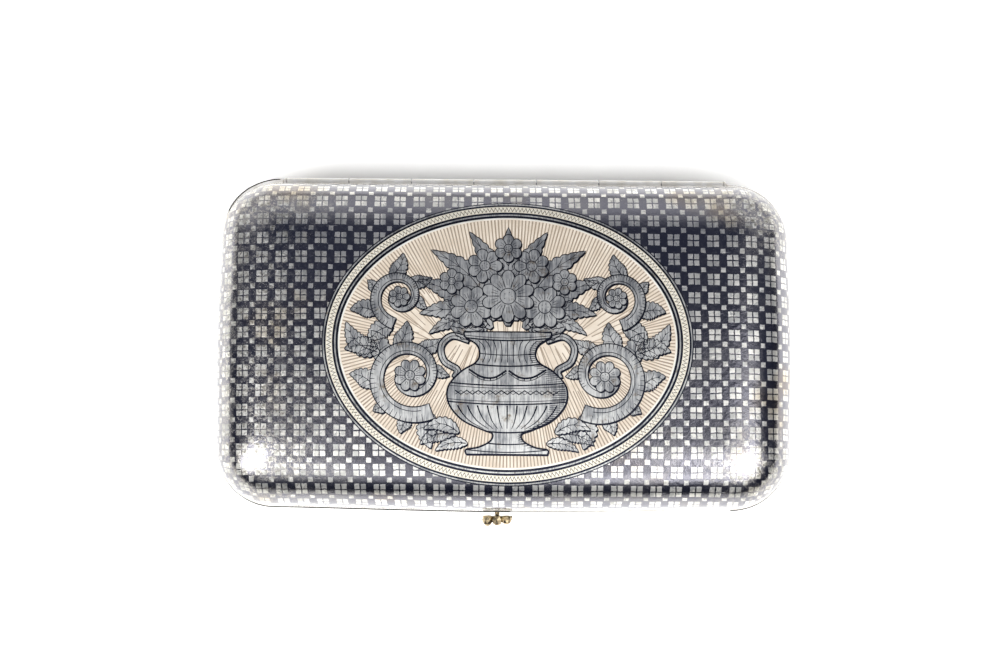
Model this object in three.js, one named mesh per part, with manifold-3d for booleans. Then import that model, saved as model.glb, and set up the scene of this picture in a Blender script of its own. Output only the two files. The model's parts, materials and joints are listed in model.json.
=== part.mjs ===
// A silver tobacco box with a niello lid: two pillow-shaped shells that meet at plain rims, a seven-knuckle
// hinge along the back, and a gilt push piece at the front that works a sprung catch inside.
// Millimetres, +Z up. The box lies closed on its flat underside: the origin is the middle of the underside,
// +X runs to the right along the long side, -Y is the front with the push piece, +Y the back with the hinge.

import * as THREE from 'three';
import { mergeVertices } from 'three/addons/utils/BufferGeometryUtils.js';
import Module from 'manifold-3d';

const wasm = await Module();
wasm.setup();

// Plan of the closed box, measured over the base rim
const bodyLength = 112;
const bodyDepth = 64.3;
const cornerRadius = 11.5;
const endBow = 0.5; // how far each short side swells out in the middle
const frontBow = 0.6; // how far the front swells out in the middle; the back stays straight for the hinge
const smallestCorner = 0.4; // plan radius kept at the corners of the innermost rings

// Sheet and rims
const wall = 0.8; // thickness of the lid and base sheets
const rimHeight = 1.5;
const rimWidth = 1.3; // from the lid rim's outer face to its inner face
const rimEdge = 0.2; // rounding on the outer edges of both rims
const lidSetback = 0.25; // how far the lid rim stands in from the base rim
const rimProud = 0.25; // how far each rim stands out from the sheet beside it
const seamGap = 0.3;

// Base sheet: an elliptical belly that runs into the flat underside
const bellyHeight = 10.5;
const bellyWidth = 10.5;

// Lid sheet: an elliptical shoulder that runs into a low crown
const shoulderHeight = 10;
const shoulderWidth = 12;
const shoulderSweep = 82; // degrees of the quarter ellipse that are used before the crown takes over
const crownRise = 1.6;

// Bezel: the thin inner wall of the base that the lid closes over
const bezelClearance = 0.25;
const bezelWall = 0.7;
const bezelAbove = 1.9; // height above the base rim
const bezelBelow = 4.1; // depth below the top of the base rim

// Hinge
const knuckleCount = 7;
const knucklePitch = 12.3;
const knuckleGap = 0.15;
const knuckleRadius = 0.9;
const knuckleChamfer = 0.15;
const pinRadius = 0.4;
const pinClearance = 0.2;
const pinEndGap = 0.2; // from each end of the pin to its plug
const plugLength = 0.6;
const grooveClearance = 0.25; // round the barrel where it lies in the two rims
const bearerClearance = 0.25;
const bearerWall = 0.8; // thickness of the strips that back the thinned rims
const bearerHeight = 2;
const bearerInsetX = 1; // how far each bearer stops short of the barrel's end

// Catch
const thumbX = -1; // the push piece sits a little left of the middle
const thumbTravel = 0.5;
const thumbRunGap = 0.1; // left between the pressed push piece and the rim
const thumbProud = 2.7; // from the base rim to the tip of the push piece
const thumbWidth = 5.4;
const thumbPlate = 0.8;
const thumbPlateHeight = 2.6;
const thumbDrop = 1.9; // from the top of the base rim down to the middle of the push piece
const lobeCount = 3;
const lobePitch = 1.85;
const lobeHalfWidth = 1.35;
const lobeHalfHeight = 1.6;
const stemRadius = 0.5;
const stemClearance = 0.25;
const stemDrop = 1.1; // from the bottom of the base rim down to the stem's middle
const springGap = 0.25; // between the bezel and the leaf
const springWall = 0.4;
const springHeight = 2;
const springReach = 15; // from the stem to the fixed end
const springTip = 1.6; // past the stem
const rivetSpacing = 2.6;
const rivetFromEnd = 1.6;
const rivetRadius = 0.35;
const rivetHeadRadius = 0.75;
const rivetHeadHeight = 0.35;
const rivetClearance = 0.2;
const hookGap = 0.25; // between the leaf and the hook's bar
const hookWall = 0.7;
const hookWidth = 3;
const hookFoot = 0.9; // below the stem's middle
const hookNose = 0.25; // how far the nose reaches out of the bar
const hookNoseHeight = 0.7;
const noseClearance = 0.15; // between the keeper's top and the nose's underside
const catchClearance = 0.25; // between the nose and the keeper, so that each moves freely by itself
const keeperWidth = 5;
const keeperHeight = 1;
const keeperWallGap = 0.3; // between the keeper and the lid's sheet
const keeperLift = 0.3; // over the top of the bezel

// Facets
const cornerSteps = 8;
const frontSteps = 10;
const endSteps = 6;
const backSteps = 3;
const shoulderSteps = 8;
const crownSteps = 5;
const barrelFacets = 20;
const pinFacets = 12;

// Places that follow from the sizes
const front = -bodyDepth / 2;
const back = bodyDepth / 2;
const sheetInset = rimProud;
const baseRimBottom = bellyHeight;
const baseRimTop = baseRimBottom + rimHeight;
const lidRimBottom = baseRimTop + seamGap;
const lidRimTop = lidRimBottom + rimHeight;
const rimInnerInset = lidSetback + rimWidth;
const bezelInset = rimInnerInset + bezelClearance;
const bezelInnerInset = bezelInset + bezelWall;
const bezelTop = baseRimTop + bezelAbove;
const axisY = back; // so that the opening lid clears the base rim, which lies wholly in front of the axis
const axisZ = baseRimTop + seamGap / 2;
const hingeLength = knuckleCount * knucklePitch;
const grooveRadius = knuckleRadius + grooveClearance;
const grooveLength = hingeLength + 2 * (plugLength + grooveClearance);
const stemZ = baseRimBottom - stemDrop;
const thumbBack = front - thumbTravel - thumbRunGap;
const thumbZ = baseRimTop - thumbDrop;
const springFront = front + bezelInnerInset + springGap;
const hookFront = springFront + springWall + hookGap;
const keeperTop = bezelTop + keeperLift + keeperHeight;
const holeRadius = stemRadius + stemClearance;

const silver = { color: 0xd8d6d0, roughness: 0.22, metalness: 1 };
const niello = { color: 0x3a4060, roughness: 0.3, metalness: 0.6 };
const gilt = { color: 0xc9a35e, roughness: 0.3, metalness: 1 };
const steel = { color: 0x9a9ca0, roughness: 0.4, metalness: 1 };

// Points of one straight side between two corners, without its ends, swollen by a smooth bow
function bowedSide(from, to, steps, outward, bow) {
  const points = [];
  for (let i = 1; i < steps; i += 1) {
    const t = i / steps;
    const swell = 4 * bow * t * (1 - t);
    points.push(from.clone().lerp(to, t).addScaledVector(outward, swell));
  }
  return points;
}

function cornerArc(centre, radius, startDegrees) {
  const points = [];
  for (let i = 0; i <= cornerSteps; i += 1) {
    const angle = THREE.MathUtils.degToRad(startDegrees + (90 * i) / cornerSteps);
    const reach = new THREE.Vector2(Math.cos(angle), Math.sin(angle)).multiplyScalar(radius);
    points.push(centre.clone().add(reach));
  }
  return points;
}

// The plan outline, moved in by an inset and laid at one height, anticlockwise from the right end of the back
function planRing(inset, z) {
  const radius = Math.max(cornerRadius - inset, smallestCorner);
  const cornerX = bodyLength / 2 - endBow - inset - radius;
  const backY = back - inset - radius;
  const frontY = front + frontBow + inset + radius;
  const backRight = cornerArc(new THREE.Vector2(cornerX, backY), radius, 0);
  const backLeft = cornerArc(new THREE.Vector2(-cornerX, backY), radius, 90);
  const frontLeft = cornerArc(new THREE.Vector2(-cornerX, frontY), radius, 180);
  const frontRight = cornerArc(new THREE.Vector2(cornerX, frontY), radius, 270);
  const outline = [
    ...backRight,
    ...bowedSide(backRight.at(-1), backLeft[0], backSteps, new THREE.Vector2(0, 1), 0),
    ...backLeft,
    ...bowedSide(backLeft.at(-1), frontLeft[0], endSteps, new THREE.Vector2(-1, 0), endBow),
    ...frontLeft,
    ...bowedSide(frontLeft.at(-1), frontRight[0], frontSteps, new THREE.Vector2(0, -1), frontBow),
    ...frontRight,
    ...bowedSide(frontRight.at(-1), backRight[0], endSteps, new THREE.Vector2(1, 0), endBow),
  ];
  return outline.map((p) => new THREE.Vector3(p.x, p.y, z));
}

// A skin over rings that follow each other: closed into a loop, or ended by a fan to a middle point
function skinRings(rings, ends) {
  const count = rings[0].length;
  const points = rings.flat();
  const index = [];
  const bands = ends ? rings.length - 1 : rings.length;
  for (let band = 0; band < bands; band += 1) {
    const a = band * count;
    const b = ((band + 1) % rings.length) * count;
    for (let i = 0; i < count; i += 1) {
      const j = (i + 1) % count;
      index.push(a + i, b + i, b + j, a + i, b + j, a + j);
    }
  }
  if (ends) {
    const first = points.push(ends[0]) - 1;
    const last = points.push(ends[1]) - 1;
    const tail = (rings.length - 1) * count;
    for (let i = 0; i < count; i += 1) {
      const j = (i + 1) % count;
      index.push(first, i, j, last, tail + j, tail + i);
    }
  }
  const geometry = new THREE.BufferGeometry().setFromPoints(points);
  geometry.setIndex(index);
  return geometry;
}

function toSolid(geometry) {
  const bare = geometry.clone();
  bare.deleteAttribute('normal');
  bare.deleteAttribute('uv');
  const merged = mergeVertices(bare);
  return new wasm.Manifold(
    new wasm.Mesh({
      numProp: 3,
      vertProperties: new Float32Array(merged.attributes.position.array),
      triVerts: new Uint32Array(merged.index.array),
    }),
  );
}

function toGeometry(solid) {
  const mesh = solid.getMesh();
  const geometry = new THREE.BufferGeometry();
  geometry.setAttribute('position', new THREE.BufferAttribute(mesh.vertProperties, 3));
  geometry.setIndex(new THREE.BufferAttribute(mesh.triVerts, 1));
  return geometry;
}

function cut(geometry, ...tools) {
  let solid = toSolid(geometry);
  tools.forEach((tool) => {
    solid = solid.subtract(toSolid(tool));
  });
  return toGeometry(solid);
}

function join(geometry, ...others) {
  let solid = toSolid(geometry);
  others.forEach((other) => {
    solid = solid.add(toSolid(other));
  });
  return toGeometry(solid);
}

function part(name, geometry, finish) {
  const mesh = new THREE.Mesh(geometry, new THREE.MeshStandardMaterial(finish));
  mesh.name = name;
  return mesh;
}

// A box from its low corner to its high corner
function block(low, high) {
  const size = high.clone().sub(low);
  const middle = low.clone().add(high).multiplyScalar(0.5);
  return new THREE.BoxGeometry(size.x, size.y, size.z).translate(middle.x, middle.y, middle.z);
}

// A round bar along X, from one x to another, about a given y and z
function barAlongX(radius, fromX, toX, y, z, facets) {
  const bar = new THREE.CylinderGeometry(radius, radius, toX - fromX, facets);
  return bar.rotateZ(Math.PI / 2).translate((fromX + toX) / 2, y, z);
}

// A round bar along Y, from one y to another, about a given x and z
function barAlongY(radius, fromY, toY, x, z, facets) {
  return new THREE.CylinderGeometry(radius, radius, toY - fromY, facets).translate(x, (fromY + toY) / 2, z);
}

// The crown swells over its straight edges like a stretched skin: highest in the middle, nothing at the edges
function crownPoint(x, y, edgeZ, reach) {
  const swell = (1 - (x / reach.x) ** 2) * (1 - (y / reach.y) ** 2);
  return new THREE.Vector3(x, y, edgeZ + crownRise * swell);
}

// One sheet of the lid: the shoulder rings and then the crown rings, at a depth below the outer face
function lidRings(depth) {
  const rings = [];
  for (let i = 0; i <= shoulderSteps; i += 1) {
    const angle = THREE.MathUtils.degToRad((shoulderSweep * i) / shoulderSteps);
    const normal = new THREE.Vector2(Math.cos(angle) / shoulderWidth, Math.sin(angle) / shoulderHeight).normalize();
    const inset = lidSetback + sheetInset + shoulderWidth * (1 - Math.cos(angle)) + depth * normal.x;
    rings.push(planRing(inset, lidRimTop + shoulderHeight * Math.sin(angle) - depth * normal.y));
  }
  const edge = rings.at(-1);
  const reach = new THREE.Box3().setFromPoints(edge).max;
  const edgeZ = edge[0].z;
  for (let i = 1; i < crownSteps; i += 1) {
    const share = 1 - i / crownSteps;
    rings.push(edge.map((p) => crownPoint(p.x * share, p.y * share, edgeZ, reach)));
  }
  return { rings, middle: crownPoint(0, 0, edgeZ, reach) };
}

function lidShell() {
  const outer = lidRings(0);
  const inner = lidRings(wall);
  return skinRings([...outer.rings.reverse(), ...inner.rings], [outer.middle, inner.middle]);
}

// One sheet of the base: the belly rings, at a depth inside the outer face
function baseRings(depth) {
  const rings = [];
  for (let i = 0; i <= shoulderSteps; i += 1) {
    const angle = THREE.MathUtils.degToRad((90 * i) / shoulderSteps);
    const normal = new THREE.Vector2(Math.cos(angle) / bellyWidth, Math.sin(angle) / bellyHeight).normalize();
    const inset = sheetInset + bellyWidth * (1 - Math.cos(angle)) + depth * normal.x;
    rings.push(planRing(inset, baseRimBottom - bellyHeight * Math.sin(angle) + depth * normal.y));
  }
  return { rings, middle: new THREE.Vector3(0, 0, rings.at(-1)[0].z) };
}

function stemHole() {
  return barAlongY(holeRadius, front - 1, front + bezelInnerInset + 1, thumbX, stemZ, pinFacets);
}

function baseShell() {
  const outer = baseRings(0);
  const inner = baseRings(wall);
  const sheet = skinRings([...inner.rings.reverse(), ...outer.rings], [inner.middle, outer.middle]);
  return cut(sheet, stemHole());
}

function barrelGroove() {
  return barAlongX(grooveRadius, -grooveLength / 2, grooveLength / 2, axisY, axisZ, barrelFacets);
}

// A plain band with a flat top and bottom and two softened outer edges, hollowed where the barrel lies
function rimBand(outerInset, bottom, top) {
  const section = [
    [rimInnerInset, top],
    [outerInset + rimEdge, top],
    [outerInset, top - rimEdge],
    [outerInset, bottom + rimEdge],
    [outerInset + rimEdge, bottom],
    [rimInnerInset, bottom],
  ];
  const band = skinRings(section.map(([inset, z]) => planRing(inset, z)));
  return cut(band, barrelGroove());
}

function bezel() {
  const bottom = baseRimTop - bezelBelow;
  const section = [
    [bezelInnerInset, bezelTop],
    [bezelInset + rimEdge, bezelTop],
    [bezelInset, bezelTop - rimEdge],
    [bezelInset, bottom],
    [bezelInnerInset, bottom],
  ];
  const band = skinRings(section.map(([inset, z]) => planRing(inset, z)));
  const hingeSide = block(
    new THREE.Vector3(-grooveLength / 2, back - cornerRadius / 2, bottom - 1),
    new THREE.Vector3(grooveLength / 2, back, bezelTop + 1),
  );
  const rivetHoles = rivetPlaces().map((x) => {
    const radius = rivetRadius + rivetClearance;
    return barAlongY(radius, front + bezelInset - 1, front + bezelInnerInset + 1, x, stemZ, pinFacets);
  });
  return cut(band, hingeSide, stemHole(), ...rivetHoles);
}

// The flat strip soldered behind a rim, where the barrel's groove thins it
function hingeBearer(bottom) {
  const reach = hingeLength / 2 - bearerInsetX;
  const outerY = back - rimInnerInset - bearerClearance;
  return block(
    new THREE.Vector3(-reach, outerY - bearerWall, bottom),
    new THREE.Vector3(reach, outerY, bottom + bearerHeight),
  );
}

function knuckle(position) {
  const length = knucklePitch - knuckleGap;
  const bore = pinRadius + pinClearance;
  const profile = [
    new THREE.Vector2(bore, 0),
    new THREE.Vector2(knuckleRadius - knuckleChamfer, 0),
    new THREE.Vector2(knuckleRadius, knuckleChamfer),
    new THREE.Vector2(knuckleRadius, length - knuckleChamfer),
    new THREE.Vector2(knuckleRadius - knuckleChamfer, length),
    new THREE.Vector2(bore, length),
    new THREE.Vector2(bore, 0),
  ];
  const tube = new THREE.LatheGeometry(profile, barrelFacets);
  const startX = -hingeLength / 2 + position * knucklePitch + knuckleGap / 2;
  return tube.rotateZ(-Math.PI / 2).translate(startX, axisY, axisZ);
}

function hingePin() {
  const reach = hingeLength / 2 - pinEndGap;
  return barAlongX(pinRadius, -reach, reach, axisY, axisZ, pinFacets);
}

// A low domed cap over one end of the barrel; side is -1 for the left end and 1 for the right
function hingePlug(side) {
  const profile = [
    new THREE.Vector2(0, 0),
    new THREE.Vector2(knuckleRadius, 0),
    new THREE.Vector2(knuckleRadius, plugLength / 2),
    new THREE.Vector2(knuckleRadius * 0.7, plugLength * 0.9),
    new THREE.Vector2(0, plugLength),
  ];
  const cap = new THREE.LatheGeometry(profile, barrelFacets);
  return cap.rotateZ((-side * Math.PI) / 2).translate((side * hingeLength) / 2, axisY, axisZ);
}

// The push piece: a flat plate with three faceted lobes fanned across its face
function thumbButton() {
  const plateFront = thumbBack - thumbPlate;
  const lobeDepth = thumbProud - (front - plateFront);
  const plate = block(
    new THREE.Vector3(thumbX - thumbWidth / 2, plateFront, thumbZ - thumbPlateHeight / 2),
    new THREE.Vector3(thumbX + thumbWidth / 2, thumbBack, thumbZ + thumbPlateHeight / 2),
  );
  const lobes = [];
  for (let i = 0; i < lobeCount; i += 1) {
    const x = thumbX + (i - (lobeCount - 1) / 2) * lobePitch;
    const lobe = new THREE.IcosahedronGeometry(1, 1).scale(lobeHalfWidth, lobeDepth, lobeHalfHeight);
    const bounds = block(
      new THREE.Vector3(x - lobeHalfWidth, plateFront - lobeDepth, thumbZ - lobeHalfHeight),
      new THREE.Vector3(x + lobeHalfWidth, plateFront + thumbPlate / 2, thumbZ + lobeHalfHeight),
    );
    lobes.push(toGeometry(toSolid(lobe.translate(x, plateFront, thumbZ)).intersect(toSolid(bounds))));
  }
  return join(plate, ...lobes);
}

function buttonStem() {
  return barAlongY(stemRadius, thumbBack, hookFront, thumbX, stemZ, pinFacets);
}

// Across the leaf, from its fixed end: where the two rivets go
function rivetPlaces() {
  const outer = thumbX - springReach + rivetFromEnd;
  return [outer, outer + rivetSpacing];
}

// A flat leaf riveted to the bezel at its left end; the stem passes through its free end
function catchSpring() {
  const leaf = block(
    new THREE.Vector3(thumbX - springReach, springFront, stemZ - springHeight / 2),
    new THREE.Vector3(thumbX + springTip, springFront + springWall, stemZ + springHeight / 2),
  );
  const through = [springFront - 1, springFront + springWall + 1];
  const stemPass = barAlongY(holeRadius, ...through, thumbX, stemZ, pinFacets);
  const rivetHoles = rivetPlaces().map((x) =>
    barAlongY(rivetRadius + rivetClearance, ...through, x, stemZ, pinFacets),
  );
  return cut(leaf, stemPass, ...rivetHoles);
}

// A rivet whose shank lies in the bezel and the leaf, with its head on the leaf's inner face
function springRivet(x) {
  const shank = bezelWall + springGap + springWall;
  const profile = [
    new THREE.Vector2(0, 0),
    new THREE.Vector2(rivetRadius, 0),
    new THREE.Vector2(rivetRadius, shank),
    new THREE.Vector2(rivetHeadRadius, shank),
    new THREE.Vector2(rivetHeadRadius * 0.6, shank + rivetHeadHeight),
    new THREE.Vector2(0, shank + rivetHeadHeight),
  ];
  return new THREE.LatheGeometry(profile, pinFacets).translate(x, front + bezelInset, stemZ);
}

// An upright bar behind the leaf, with a short nose at its top that reaches forward over the keeper
function catchHook() {
  const bottom = stemZ - hookFoot;
  const noseBottom = keeperTop + noseClearance;
  const top = noseBottom + hookNoseHeight;
  const noseY = hookFront - hookNose;
  const outline = new THREE.Shape([
    new THREE.Vector2(hookFront, bottom),
    new THREE.Vector2(hookFront + hookWall, bottom),
    new THREE.Vector2(hookFront + hookWall, top),
    new THREE.Vector2(hookFront, top),
    new THREE.Vector2(noseY, noseBottom + hookNoseHeight / 2),
    new THREE.Vector2(noseY, noseBottom),
    new THREE.Vector2(hookFront, noseBottom),
  ]);
  const hook = new THREE.ExtrudeGeometry(outline, { depth: hookWidth, bevelEnabled: false });
  // The outline's own x and y become the box's y and z, and its depth runs along X
  const lie = new THREE.Matrix4().makeBasis(
    new THREE.Vector3(0, 1, 0),
    new THREE.Vector3(0, 0, 1),
    new THREE.Vector3(1, 0, 0),
  );
  return hook.applyMatrix4(lie).translate(thumbX - hookWidth / 2, 0, 0);
}

// How far the lid's sheet lies in from the plan outline at a height above the lid rim
function lidSheetInset(height) {
  const angle = Math.asin(height / shoulderHeight);
  return lidSetback + sheetInset + shoulderWidth * (1 - Math.cos(angle)) + wall;
}

// The block inside the lid's front that the catch holds
function lidKeeper() {
  const bottom = keeperTop - keeperHeight;
  const outerY = front + lidSheetInset(keeperTop - lidRimTop) + keeperWallGap;
  const innerY = hookFront - hookNose - catchClearance;
  return block(
    new THREE.Vector3(thumbX - keeperWidth / 2, outerY, bottom),
    new THREE.Vector3(thumbX + keeperWidth / 2, innerY, keeperTop),
  );
}

const box = new THREE.Group();

box.add(part('lid_shell', lidShell(), niello));
box.add(part('lid_rim', rimBand(lidSetback, lidRimBottom, lidRimTop), silver));
box.add(part('lid_hinge_bearer', hingeBearer(lidRimBottom + bearerClearance), silver));
box.add(part('lid_keeper', lidKeeper(), silver));

box.add(part('base_shell', baseShell(), niello));
box.add(part('base_rim', rimBand(0, baseRimBottom, baseRimTop), silver));
box.add(part('base_bezel', bezel(), gilt));
box.add(part('base_hinge_bearer', hingeBearer(baseRimTop - bearerClearance - bearerHeight), silver));

for (let i = 0; i < knuckleCount; i += 1) {
  const side = i % 2 === 0 ? 'base' : 'lid';
  box.add(part(`${side}_knuckle_${i + 1}`, knuckle(i), silver));
}
box.add(part('hinge_pin', hingePin(), steel));
box.add(part('hinge_plug_left', hingePlug(-1), silver));
box.add(part('hinge_plug_right', hingePlug(1), silver));

box.add(part('thumb_button', thumbButton(), gilt));
box.add(part('button_stem', buttonStem(), steel));
box.add(part('catch_hook', catchHook(), steel));
box.add(part('catch_spring', catchSpring(), steel));
const [outerRivet, innerRivet] = rivetPlaces();
box.add(part('spring_rivet_outer', springRivet(outerRivet), steel));
box.add(part('spring_rivet_inner', springRivet(innerRivet), steel));

export default box;
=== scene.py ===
import json
import math

import bmesh
import bpy
import numpy as np
from mathutils import Matrix, Vector
from mathutils.geometry import delaunay_2d_cdt

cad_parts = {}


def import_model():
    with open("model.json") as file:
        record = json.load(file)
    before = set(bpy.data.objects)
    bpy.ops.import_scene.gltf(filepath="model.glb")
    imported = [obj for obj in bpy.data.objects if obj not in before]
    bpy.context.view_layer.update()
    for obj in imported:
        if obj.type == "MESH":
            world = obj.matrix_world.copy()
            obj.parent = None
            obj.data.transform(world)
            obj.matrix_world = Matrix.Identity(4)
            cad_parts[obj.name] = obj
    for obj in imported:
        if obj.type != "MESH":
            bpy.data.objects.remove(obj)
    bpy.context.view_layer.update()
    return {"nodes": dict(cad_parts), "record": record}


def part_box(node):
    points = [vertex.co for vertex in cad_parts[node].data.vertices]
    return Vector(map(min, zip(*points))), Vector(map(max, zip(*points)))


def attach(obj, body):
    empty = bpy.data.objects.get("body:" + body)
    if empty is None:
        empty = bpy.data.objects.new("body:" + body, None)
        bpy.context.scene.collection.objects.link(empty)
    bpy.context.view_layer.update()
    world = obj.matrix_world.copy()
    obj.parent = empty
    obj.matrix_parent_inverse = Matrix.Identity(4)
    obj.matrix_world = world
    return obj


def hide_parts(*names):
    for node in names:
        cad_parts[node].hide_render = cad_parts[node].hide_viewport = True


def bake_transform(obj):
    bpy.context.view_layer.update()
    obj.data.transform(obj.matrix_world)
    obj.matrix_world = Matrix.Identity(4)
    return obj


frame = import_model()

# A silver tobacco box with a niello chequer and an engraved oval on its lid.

MM = 0.001


def corners(node):
    """A node's lowest and highest corners, in millimetres."""
    low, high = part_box(node)
    return np.array(low) / MM, np.array(high) / MM


BODY_OF = {node: body for body, nodes in frame["record"]["behaviour"]["bodies"].items() for node in nodes}

# Plan of the box and the profiles of its two sheets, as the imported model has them
RIM_LOW, RIM_HIGH = corners("base_rim")
HALF_LENGTH = RIM_HIGH[0]
BACK = RIM_HIGH[1]
FRONT = -BACK
CORNER_RADIUS = 11.5
END_BOW = 0.5
FRONT_BOW = 0.6
BOW_POWER = 1.4  # the bows run into the corners without a kink
SMALLEST_CORNER = 0.4
WALL = 0.8
RIM_INNER = 1.55
RIM_EDGE = 0.2
RIM_DOME = 0.06  # the rims' faces are very slightly rounded, as filed and polished bands are
LID_INSET = 0.5
SHOULDER_WIDTH = 12
SHOULDER_HEIGHT = 10
SHOULDER_SWEEP = math.radians(82)
CROWN_RISE = 1.6
BELLY_INSET = 0.25
BELLY_WIDTH = 10.5
BEZEL_OUTER = 1.8
BEZEL_INNER = 2.5
GROOVE_CLEARANCE = 0.25
LID_RIM_INSET = 0.08  # how far the lid's rim stands in, so that the joint shows from above
RIM_SETBACK = 0.1  # how far the lid's rim and its sheet stand back from the hinge
SHEET_SETBACK = 0.3
BORDER_WIDTH = 1.7  # the sheets' plain border under the inlay, wider along the hinge and most at its left end
BACK_BORDER = 0.4
LEFT_BORDER = 1.6
FLARE_SLOPE = 0.85
FLARE_LEFT = 0.95  # how far the base's rim stands out at its back corners
FLARE_RIGHT = 0.5
STEEP_FRONT = (32, 54)  # tilts in degrees between which the squares go over from even in plan to even on the sheet
STEEP_BACK = (26, 54)
CLOSING = 0.7  # how far the engraver's rows have closed up on their way over the middle of the lid
HOLE_RADIUS = 0.75
RIVET_HOLE_RADIUS = 0.55

# How finely the sheets are drawn
CORNER_STEPS = 24
LONG_STEPS = 112
SHORT_STEPS = 64
SHOULDER_STEPS = 36
CROWN_STEPS = 28
ROUND_STEPS = 64

# The oval and its rings, from the outer edge inwards
OVAL_X = 34.9
OVAL_Y = 26.9
OVAL_CENTRE = (0.7, -0.4)


# Meshes

def new_piece(name, points, faces, materials, body, slot, face_slots=None, sharp=35):
    """A mesh piece from points in millimetres, smooth but for edges sharper than an angle."""
    mesh = bpy.data.meshes.new(name)
    mesh.from_pydata((np.asarray(points) * MM).tolist(), [], faces)
    for material in materials:
        mesh.materials.append(material)
    if face_slots is not None:
        mesh.polygons.foreach_set("material_index", np.asarray(face_slots, dtype=np.int32))
    mesh.polygons.foreach_set("use_smooth", np.ones(len(mesh.polygons), dtype=bool))
    mesh.set_sharp_from_angle(angle=math.radians(sharp))
    mesh.validate()
    piece = bpy.data.objects.new(name, mesh)
    bpy.context.scene.collection.objects.link(piece)
    if body:
        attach(piece, body)
    return piece


def bow(t):
    return np.sin(np.pi * np.clip(t, 0, 1)) ** BOW_POWER


CORNER_X = HALF_LENGTH - END_BOW - CORNER_RADIUS
CORNER_BACK = BACK - CORNER_RADIUS
CORNER_FRONT = FRONT + FRONT_BOW + CORNER_RADIUS


def plan_ring(inset):
    """The plan outline moved in by an inset, anticlockwise from the right end of the back."""
    radius = max(CORNER_RADIUS - inset, SMALLEST_CORNER)
    shift = max(inset + SMALLEST_CORNER - CORNER_RADIUS, 0)
    corner_x = CORNER_X - shift
    places = [
        (corner_x, CORNER_BACK - shift, 0),
        (-corner_x, CORNER_BACK - shift, 90),
        (-corner_x, CORNER_FRONT + shift, 180),
        (corner_x, CORNER_FRONT + shift, 270),
    ]
    arcs = []
    for x, y, start in places:
        angle = np.radians(start + 90 * np.arange(CORNER_STEPS + 1) / CORNER_STEPS)
        arcs.append(np.column_stack([x + radius * np.cos(angle), y + radius * np.sin(angle)]))
    sides = [
        (LONG_STEPS, (0, 1), 0),
        (SHORT_STEPS, (-1, 0), END_BOW),
        (LONG_STEPS, (0, -1), FRONT_BOW),
        (SHORT_STEPS, (1, 0), END_BOW),
    ]
    ring = []
    for i, (steps, outward, swell) in enumerate(sides):
        t = np.arange(1, steps)[:, None] / steps
        straight = arcs[i][-1] * (1 - t) + arcs[(i + 1) % 4][0] * t
        ring += [arcs[i], straight + np.array(outward) * swell * bow(t)]
    return np.vstack(ring)


def plan_inset(x, y):
    """How far a point of the plan lies in from the outline."""
    end = HALF_LENGTH - END_BOW - np.abs(x)
    end = end + END_BOW * bow((y - CORNER_FRONT) / (CORNER_BACK - CORNER_FRONT))
    front = y - FRONT - FRONT_BOW + FRONT_BOW * bow((x + CORNER_X) / (2 * CORNER_X))
    inset = np.minimum(np.minimum(end, front), BACK - y)
    past_x = np.abs(x) - CORNER_X
    past_y = np.maximum(y - CORNER_BACK, CORNER_FRONT - y)
    in_corner = (past_x > 0) & (past_y > 0)
    return np.where(in_corner, CORNER_RADIUS - np.hypot(past_x, past_y), inset)


def smooth_step(value, low, high):
    t = np.clip((value - low) / (high - low), 0, 1)
    return t * t * (3 - 2 * t)


LID_FOOT = corners("lid_shell")[0][2]
EDGE_INSET = LID_INSET + SHOULDER_WIDTH * (1 - math.cos(SHOULDER_SWEEP))
EDGE_Z = LID_FOOT + SHOULDER_HEIGHT * math.sin(SHOULDER_SWEEP)


def lid_profile(x, y):
    """The lid's height over a point of the plan, with the slight crease where shoulder and crown meet."""
    cosine = 1 - np.clip(plan_inset(x, y) - LID_INSET, 0, EDGE_INSET - LID_INSET) / SHOULDER_WIDTH
    shoulder = LID_FOOT + SHOULDER_HEIGHT * np.sqrt(1 - cosine**2)
    across = (x / (HALF_LENGTH - EDGE_INSET)) ** 2
    along = (y / (BACK - EDGE_INSET)) ** 2
    swell = CROWN_RISE * (1 - across) * (1 - along)
    return np.where(plan_inset(x, y) < EDGE_INSET, shoulder, EDGE_Z + swell)


# The lid's height field with that crease rubbed out: a blurred grid, read back by cubic splines
GRID_PITCH = 0.5
GRID_BLUR = 1.8
GRID_X = np.arange(-HALF_LENGTH - 4, HALF_LENGTH + 4 + GRID_PITCH, GRID_PITCH)
GRID_Y = np.arange(FRONT - 4, BACK + 4 + GRID_PITCH, GRID_PITCH)


def blurred_grid():
    height = lid_profile(*np.meshgrid(GRID_X, GRID_Y, indexing="ij"))
    reach = int(4 * GRID_BLUR / GRID_PITCH)
    kernel = np.exp(-0.5 * (np.arange(-reach, reach + 1) * GRID_PITCH / GRID_BLUR) ** 2)
    kernel /= kernel.sum()
    for axis in (0, 1):
        pad = [(0, 0), (0, 0)]
        pad[axis] = (reach, reach)
        padded = np.pad(height, pad, mode="edge")
        height = np.apply_along_axis(lambda row: np.convolve(row, kernel, "valid"), axis, padded)
    return height


LID_GRID = blurred_grid()


def spline_weights(t):
    return [(1 - t) ** 3 / 6, (3 * t**3 - 6 * t**2 + 4) / 6, (3 * (t**2 + t - t**3) + 1) / 6, t**3 / 6]


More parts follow.
